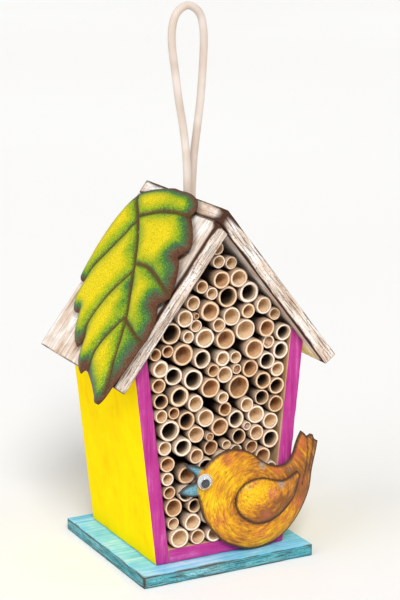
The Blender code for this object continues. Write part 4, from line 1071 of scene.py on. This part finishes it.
def leafShape(places, outline, rim, way):
    leaf = leafSettings
    vein = nearestLine(places, leaf["veins"])
    side = np.clip(wayToRim(places, outline) @ np.array(leaf["shadeSide"]), 0, 1)
    fromRim = rim / mm / (leaf["shadeNarrow"] + leaf["shadeWide"] * side)
    fromVein = leaf["veinHalo"] + leaf["veinClear"] * vein / mm
    fade = -np.log(np.exp(-fromRim / 2) + np.exp(-fromVein / 2)) * 2 + dabs(places, leaf["dabs"])
    lobe = leaf["puff"] * (1 - np.exp(-(vein / leaf["puffWidth"]) ** 2))
    groove = leaf["veinDepth"] * np.exp(-(vein / leaf["veinWidth"]) ** 2)
    lobe *= np.minimum(1, rim / leaf["puffEnd"])
    groove *= np.minimum(1, rim / leaf["veinEnd"])
    return lobe - groove, {"rimFade": fade, "veinGap": vein / mm}


def makeLeaf():
    down, out = roofWays(-1)
    place = Matrix((Vector((0, 1, 0)), down, out)).transposed().to_4x4()
    place.translation = (0, 0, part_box("roof_board_right")[1].z)
    pressedSheet("leafSheet", "leaf", place, leafSettings, leafEnamel(), "leaf_enamel", leafShape)


def paintLayers(places, rim, warm, beak, settings):
    # warmth holds the gold's tone together with the painted shade and painted light given in the settings
    return {"rimGap": rim / mm, "warmth": warm + dabs(places, settings["darker"]), "beak": beak,
            "rose": dabs(places, settings["rose"]), "mist": dabs(places, settings["mist"])}


def makeBird():
    bird, wing = birdSettings, wingSettings
    place = Matrix(((1, 0, 0, 0), (0, 0, -1, bird["front"]), (0, 1, 0, 0), (0, 0, 0, 1)))

    def bodyShape(places, outline, rim, way):
        tail = nearestLine(places, bird["tailLines"])
        x, y = places[:, 0] / mm, places[:, 1] / mm
        fromHead = np.hypot(x - bird["headMiddle"][0], y - bird["headMiddle"][1])
        beak = np.clip((fromHead - bird["headRadius"]) / bird["beakBlend"], 0, 1)
        beak *= (x < bird["beakLeft"]) & (y > bird["beakLow"])
        wingRim = rimOutline("bird_wing", place)
        wingGap, wingWay = nearestOn(places, wingRim + wingRim[:1])
        # painted shadow of the raised wing on the body
        wingShadow = np.exp(-wingGap / bird["wingShadowReach"])
        wingShadow *= np.clip(wingWay @ np.array(bird["wingShadowSide"]) + bird["wingShadowStart"], 0, 1)
        warm = warmthRound(places, bird["warmth"]) + bird["wingShadow"] * wingShadow
        relief = -bird["tailDepth"] * np.exp(-(tail / bird["tailWidth"]) ** 2)
        return relief, paintLayers(places, np.minimum(rim, tail + bird["tailLine"]), warm, beak, bird)

    def wingShape(places, outline, rim, way):
        # painted shade: the lower right of the wing gets warmer and its dark rim wider
        lower = np.clip(way @ np.array(wing["lowSide"]), 0, 1)
        warm = warmthRound(places, wing["warmth"]) + wing["lowWarm"] * lower
        edge = rim / (wing["rimNarrow"] + wing["rimWide"] * lower)
        return 0, paintLayers(places, edge, warm, np.zeros(len(places)), wing)

    pressedSheet("birdBody", "bird_body", place, bird, birdEnamel("birdEnamel", goldTones, "#C8603C"),
                 "bird_enamel", bodyShape)
    pressedSheet("birdWing", "bird_wing", place, wing, birdEnamel("wingEnamel", goldTones, "#CF6A58"),
                 "bird_enamel", wingShape)


makeLeaf()
makeBird()
print("leaf and bird made")


# Wiggle eye

eyeSettings = {
    "shell": 0.45 * mm, "lip": 0.25 * mm, "steps": 64,
    "rings": 12, "domeFoot": 0.5 * mm, "domeInset": 0.4 * mm,
    # millimetres in from the radius, and up from the back or down from the face
    "domeRim": [(0, 0), (0, 0.3), (0.35, 0.45)], "pupilBack": [(0.1, 0), (0, 0.12)],
    "pupilFace": [(0, 0.2), (0.07, 0.06), (0.22, 0)],
}


def mouldedPlastic(name, code, roughness):
    # injection moulded polystyrene: an even gloss with a faint waviness
    material, shader, place = newMaterial(name, roughness)
    wave = addNode(material, "TexNoise", {"Scale": 900.0, "Detail": 2.0}, {"Vector": place})
    dust = addNode(material, "TexNoise", {"Scale": 300.0, "Detail": 4.0}, {"Vector": place})
    grime = addNode(material, "MapRange", {"From Min": 0.5, "From Max": 0.8, "To Max": 0.12},
                    {"Value": dust})
    colour = addNode(material, "Mix", {"data_type": "RGBA", "A": hexToLinear(code),
                                       "B": hexToLinear("#8C8A88")}, {"Factor": grime})
    bump = addNode(material, "Bump", {"Strength": 0.08, "Distance": 0.0002}, {"Height": wave})
    connect(shader, {"Base Color": colour, "Normal": bump})
    return material


def clearDome():
    # thermoformed clear acetate: glass-like, with a fine haze
    material, shader, place = newMaterial("clearAcetate", 0.04, {"Transmission Weight": 1.0, "IOR": 1.3})
    haze = addNode(material, "TexNoise", {"Scale": 700.0, "Detail": 2.0}, {"Vector": place})
    tone = addNode(material, "ValToRGB", {"stops": [(0.2, "#F2F6FA"), (0.8, "#FFFFFF")]}, {"Fac": haze})
    rough = addNode(material, "MapRange", {"To Min": 0.02, "To Max": 0.07}, {"Value": haze})
    connect(shader, {"Base Color": tone, "Roughness": rough})
    return material


def facingFront(node):  # a frame on a node's back face, Z towards the front, and its radius and depth
    low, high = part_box(node)
    place = Matrix.Translation(((low.x + high.x) / 2, high.y, (low.z + high.z) / 2))
    return place @ Matrix.Rotation(math.pi / 2, 4, "X"), (high.x - low.x) / 2, high.y - low.y


def makeEye():
    eye, lip, shell = eyeSettings, eyeSettings["lip"], eyeSettings["shell"]

    def turned(name, node, profile, place, material, slot, body="house"):
        bm = bmesh.new()
        turnProfile(bm, profile, place, eye["steps"])
        placePiece(name, bm, [material], slot, [node], body)

    place, radius, depth = facingFront("eye_back")
    profile = [(0, 0), (radius - lip, 0), (radius, lip), (radius, depth - lip),
               (radius - 0.3 * lip, depth - 0.3 * lip), (radius - lip, depth), (0, depth)]
    turned("eyeBack", "eye_back", profile, place, mouldedPlastic("whitePolystyrene", "#F1F1F0", 0.3),
           "white_plastic")
    place, radius, depth = facingFront("eye_dome")
    foot, edge = eye["domeFoot"], radius - eye["domeInset"]
    outside = [(radius - inset * mm, rise * mm) for inset, rise in eye["domeRim"]]
    inside = [(radius - shell, 0)]
    for k in range(eye["rings"] + 1):
        angle = math.pi / 2 * k / eye["rings"]
        reach, height = math.cos(angle) ** 0.8, math.sin(angle) ** 0.9  # a little fuller than a ball
        outside.append((edge * reach, foot + (depth - foot) * height))
        inside.append(((edge - shell) * reach, foot + (depth - foot - shell) * height))
    turned("eyeDome", "eye_dome", outside + inside[::-1] + outside[:1], place, clearDome(), "clear_plastic")
    place, radius, depth = facingFront("eye_pupil")
    profile = [(0, 0)] + [(radius - inset * mm, rise * mm) for inset, rise in eye["pupilBack"]]
    profile += [(radius - inset * mm, depth - drop * mm) for inset, drop in eye["pupilFace"]]
    profile += [(0.5 * radius, depth), (0, depth)]
    turned("eyePupil", "eye_pupil", profile, place, mouldedPlastic("blackPolystyrene", "#3E3F46", 0.35),
           "black_plastic", "pupil")


# Screws, nails and glue

hardware = {  # profiles are (radius, height) in millimetres, and a glue dab's are shares of its own size
    "recessDepth": 1.5 * mm, "recessWidth": 0.9 * mm, "recessLength": 3.6 * mm, "recessTaper": 0.5,
    "screwHead": [(0, 0.05), (2.9, 0), (3.3, -0.1), (3.4, -0.28), (1.75, -1.95)],
    "threadStart": -2.6 * mm, "threadPitch": 1.3 * mm, "threadEnds": 5 * mm,
    "thread": [(1.25, 0), (1.25, 0.35), (1.72, 0.62), (1.25, 0.9)],  # radius, and a share of the pitch
    "screwTip": (0.5 * mm, 0.6 * mm), "screwSteps": 32, "steps": 28,
    "nailHead": [(0, 0.02), (0.5, 0), (1.1, -0.06), (1.5, -0.25), (1.6, -0.45), (1.55, -0.7), (0.8, -0.82)],
    "nailShank": 0.8 * mm, "nailPoint": 2 * mm,
    "glueDab": [(0, 0), (0.62, -0.03), (0.76, -0.12), (0.8, -0.4), (0.88, -0.7), (1, -0.93), (0.95, -1),
                (0, -1)],
    "glueSwell": 0.12, "glueGrain": 2 * mm,
}


def platedSteel():
    # zinc plated steel: a cloudy grey-blue metal with fine scratches
    material, shader, place = newMaterial("zincPlatedSteel", 0.34, {"Metallic": 1.0})
    cloud = addNode(material, "TexNoise", {"Scale": 500.0, "Detail": 4.0}, {"Vector": place})
    scratch = addNode(material, "TexNoise", {"Scale": 3000.0, "Detail": 3.0}, {"Vector": place})
    tone = addNode(material, "ValToRGB", {"stops": [(0.3, "#8E8F8C"), (0.7, "#C3C4C2")]}, {"Fac": cloud})
    rough = addNode(material, "MapRange", {"To Min": 0.25, "To Max": 0.5}, {"Value": cloud})
    bump = addNode(material, "Bump", {"Strength": 0.15, "Distance": 0.0001}, {"Height": scratch})
    connect(shader, {"Base Color": tone, "Roughness": rough, "Normal": bump})
    return material


def meltGlue():
    # hot-melt glue: milky, soft edged and a little see-through
    material, shader, place = newMaterial("hotMeltGlue", 0.35,
                                          {"Subsurface Weight": 0.4, "Subsurface Scale": 0.002})
    cloud = addNode(material, "TexNoise", {"Scale": 400.0, "Detail": 3.0}, {"Vector": place})
    tone = addNode(material, "ValToRGB", {"stops": [(0.3, "#D8CDB0"), (0.7, "#EFE8D6")]}, {"Fac": cloud})
    connect(shader, {"Base Color": tone})
    return material


def nodeAlong(node, out):  # a frame on a node's own axis, with Z out of its top, and the node's length
    points = [v.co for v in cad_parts[node].data.vertices]
    heights = [p.dot(out) for p in points]
    top = [p for p, h in zip(points, heights) if h > max(heights) - 0.05 * mm]
    middle = (Vector(map(min, zip(*top))) + Vector(map(max, zip(*top)))) / 2
    turn = Vector(out).to_track_quat("Z", "Y").to_matrix().to_4x4()
    return Matrix.Translation(middle) @ turn, max(heights) - min(heights)


def inMillimetres(profile):
    return [(radius * mm, height * mm) for radius, height in profile]


def recessCutter(place, turn, number):  # one arm of the cross in a screw's head, narrower at its bottom
    size = (hardware["recessLength"], hardware["recessWidth"], 2 * hardware["recessDepth"], 1)
    arm = bmesh.new()
    bmesh.ops.create_cube(arm, size=1, matrix=place @ Matrix.Rotation(turn, 4, "Z") @ Matrix.Diagonal(size))
    back, taper = place.inverted(), hardware["recessTaper"]
    low = [v for v in arm.verts if (back @ v.co).z < 0]
    bmesh.ops.scale(arm, verts=low, vec=(taper, taper, 1), space=Matrix.Translation(-place.translation))
    return newObject("recess%d" % number, arm)


def makeScrews(steel):
    pitch = hardware["threadPitch"]
    for node in ("base_screw_1", "base_screw_2"):
        place, length = nodeAlong(node, Vector((0, 0, -1)))
        profile = inMillimetres(hardware["screwHead"])
        for k in range(int((length - hardware["threadEnds"]) / pitch)):
            low = hardware["threadStart"] - k * pitch
            profile += [(radius * mm, low - share * pitch) for radius, share in hardware["thread"]]
        radius, height = hardware["screwTip"]
        profile += [(radius, height - length), (0, -length)]
        bm = bmesh.new()
        turnProfile(bm, profile, place, hardware["screwSteps"])
        screw = placePiece(node.replace("base_s", "baseS"), bm, [steel], "steel", [node])
        drill(screw, [recessCutter(place, turn, k) for k, turn in enumerate((0, math.pi / 2))])


def makeNails(steel):
    for side, outward in (("left", -1), ("right", 1)):
        for end in ("front", "rear"):
            node = "roof_nail_%s_%s" % (side, end)
            place, length = nodeAlong(node, roofWays(outward)[1])
            profile = inMillimetres(hardware["nailHead"])
            profile += [(hardware["nailShank"], hardware["nailPoint"] - length), (0, -length)]
            bm = bmesh.new()
            turnProfile(bm, profile, place, hardware["steps"])
            placePiece("roofNail" + side.title() + end.title(), bm, [steel], "steel", [node])


def makeGlue():
    glue = meltGlue()
    for subject, out in (("leaf", roofWays(-1)[1]), ("bird", Vector((0, -1, 0)))):
        for number in (1, 2):
            node = "%s_glue_%d" % (subject, number)
            place, height = nodeAlong(node, out)
            back = place.inverted()
            points = [back @ v.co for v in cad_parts[node].data.vertices]
            reach = max(math.hypot(p.x, p.y) for p in points)
            bm = bmesh.new()
            profile = [(share * reach, down * height) for share, down in hardware["glueDab"]]
            verts = turnProfile(bm, profile, place, hardware["steps"])[0]
            for vert in verts:
                offset = back @ vert.co
                swell = 1 - hardware["glueSwell"] * abs(noise.noise(vert.co / hardware["glueGrain"]))
                vert.co = place @ Vector((offset.x * swell, offset.y * swell, offset.z))
            placePiece("%sGlue%d" % (subject, number), bm, [glue], "glue", [node])


makeEye()
steel = platedSteel()
makeScrews(steel)
makeNails(steel)
makeGlue()
print("eye, fasteners and glue made")
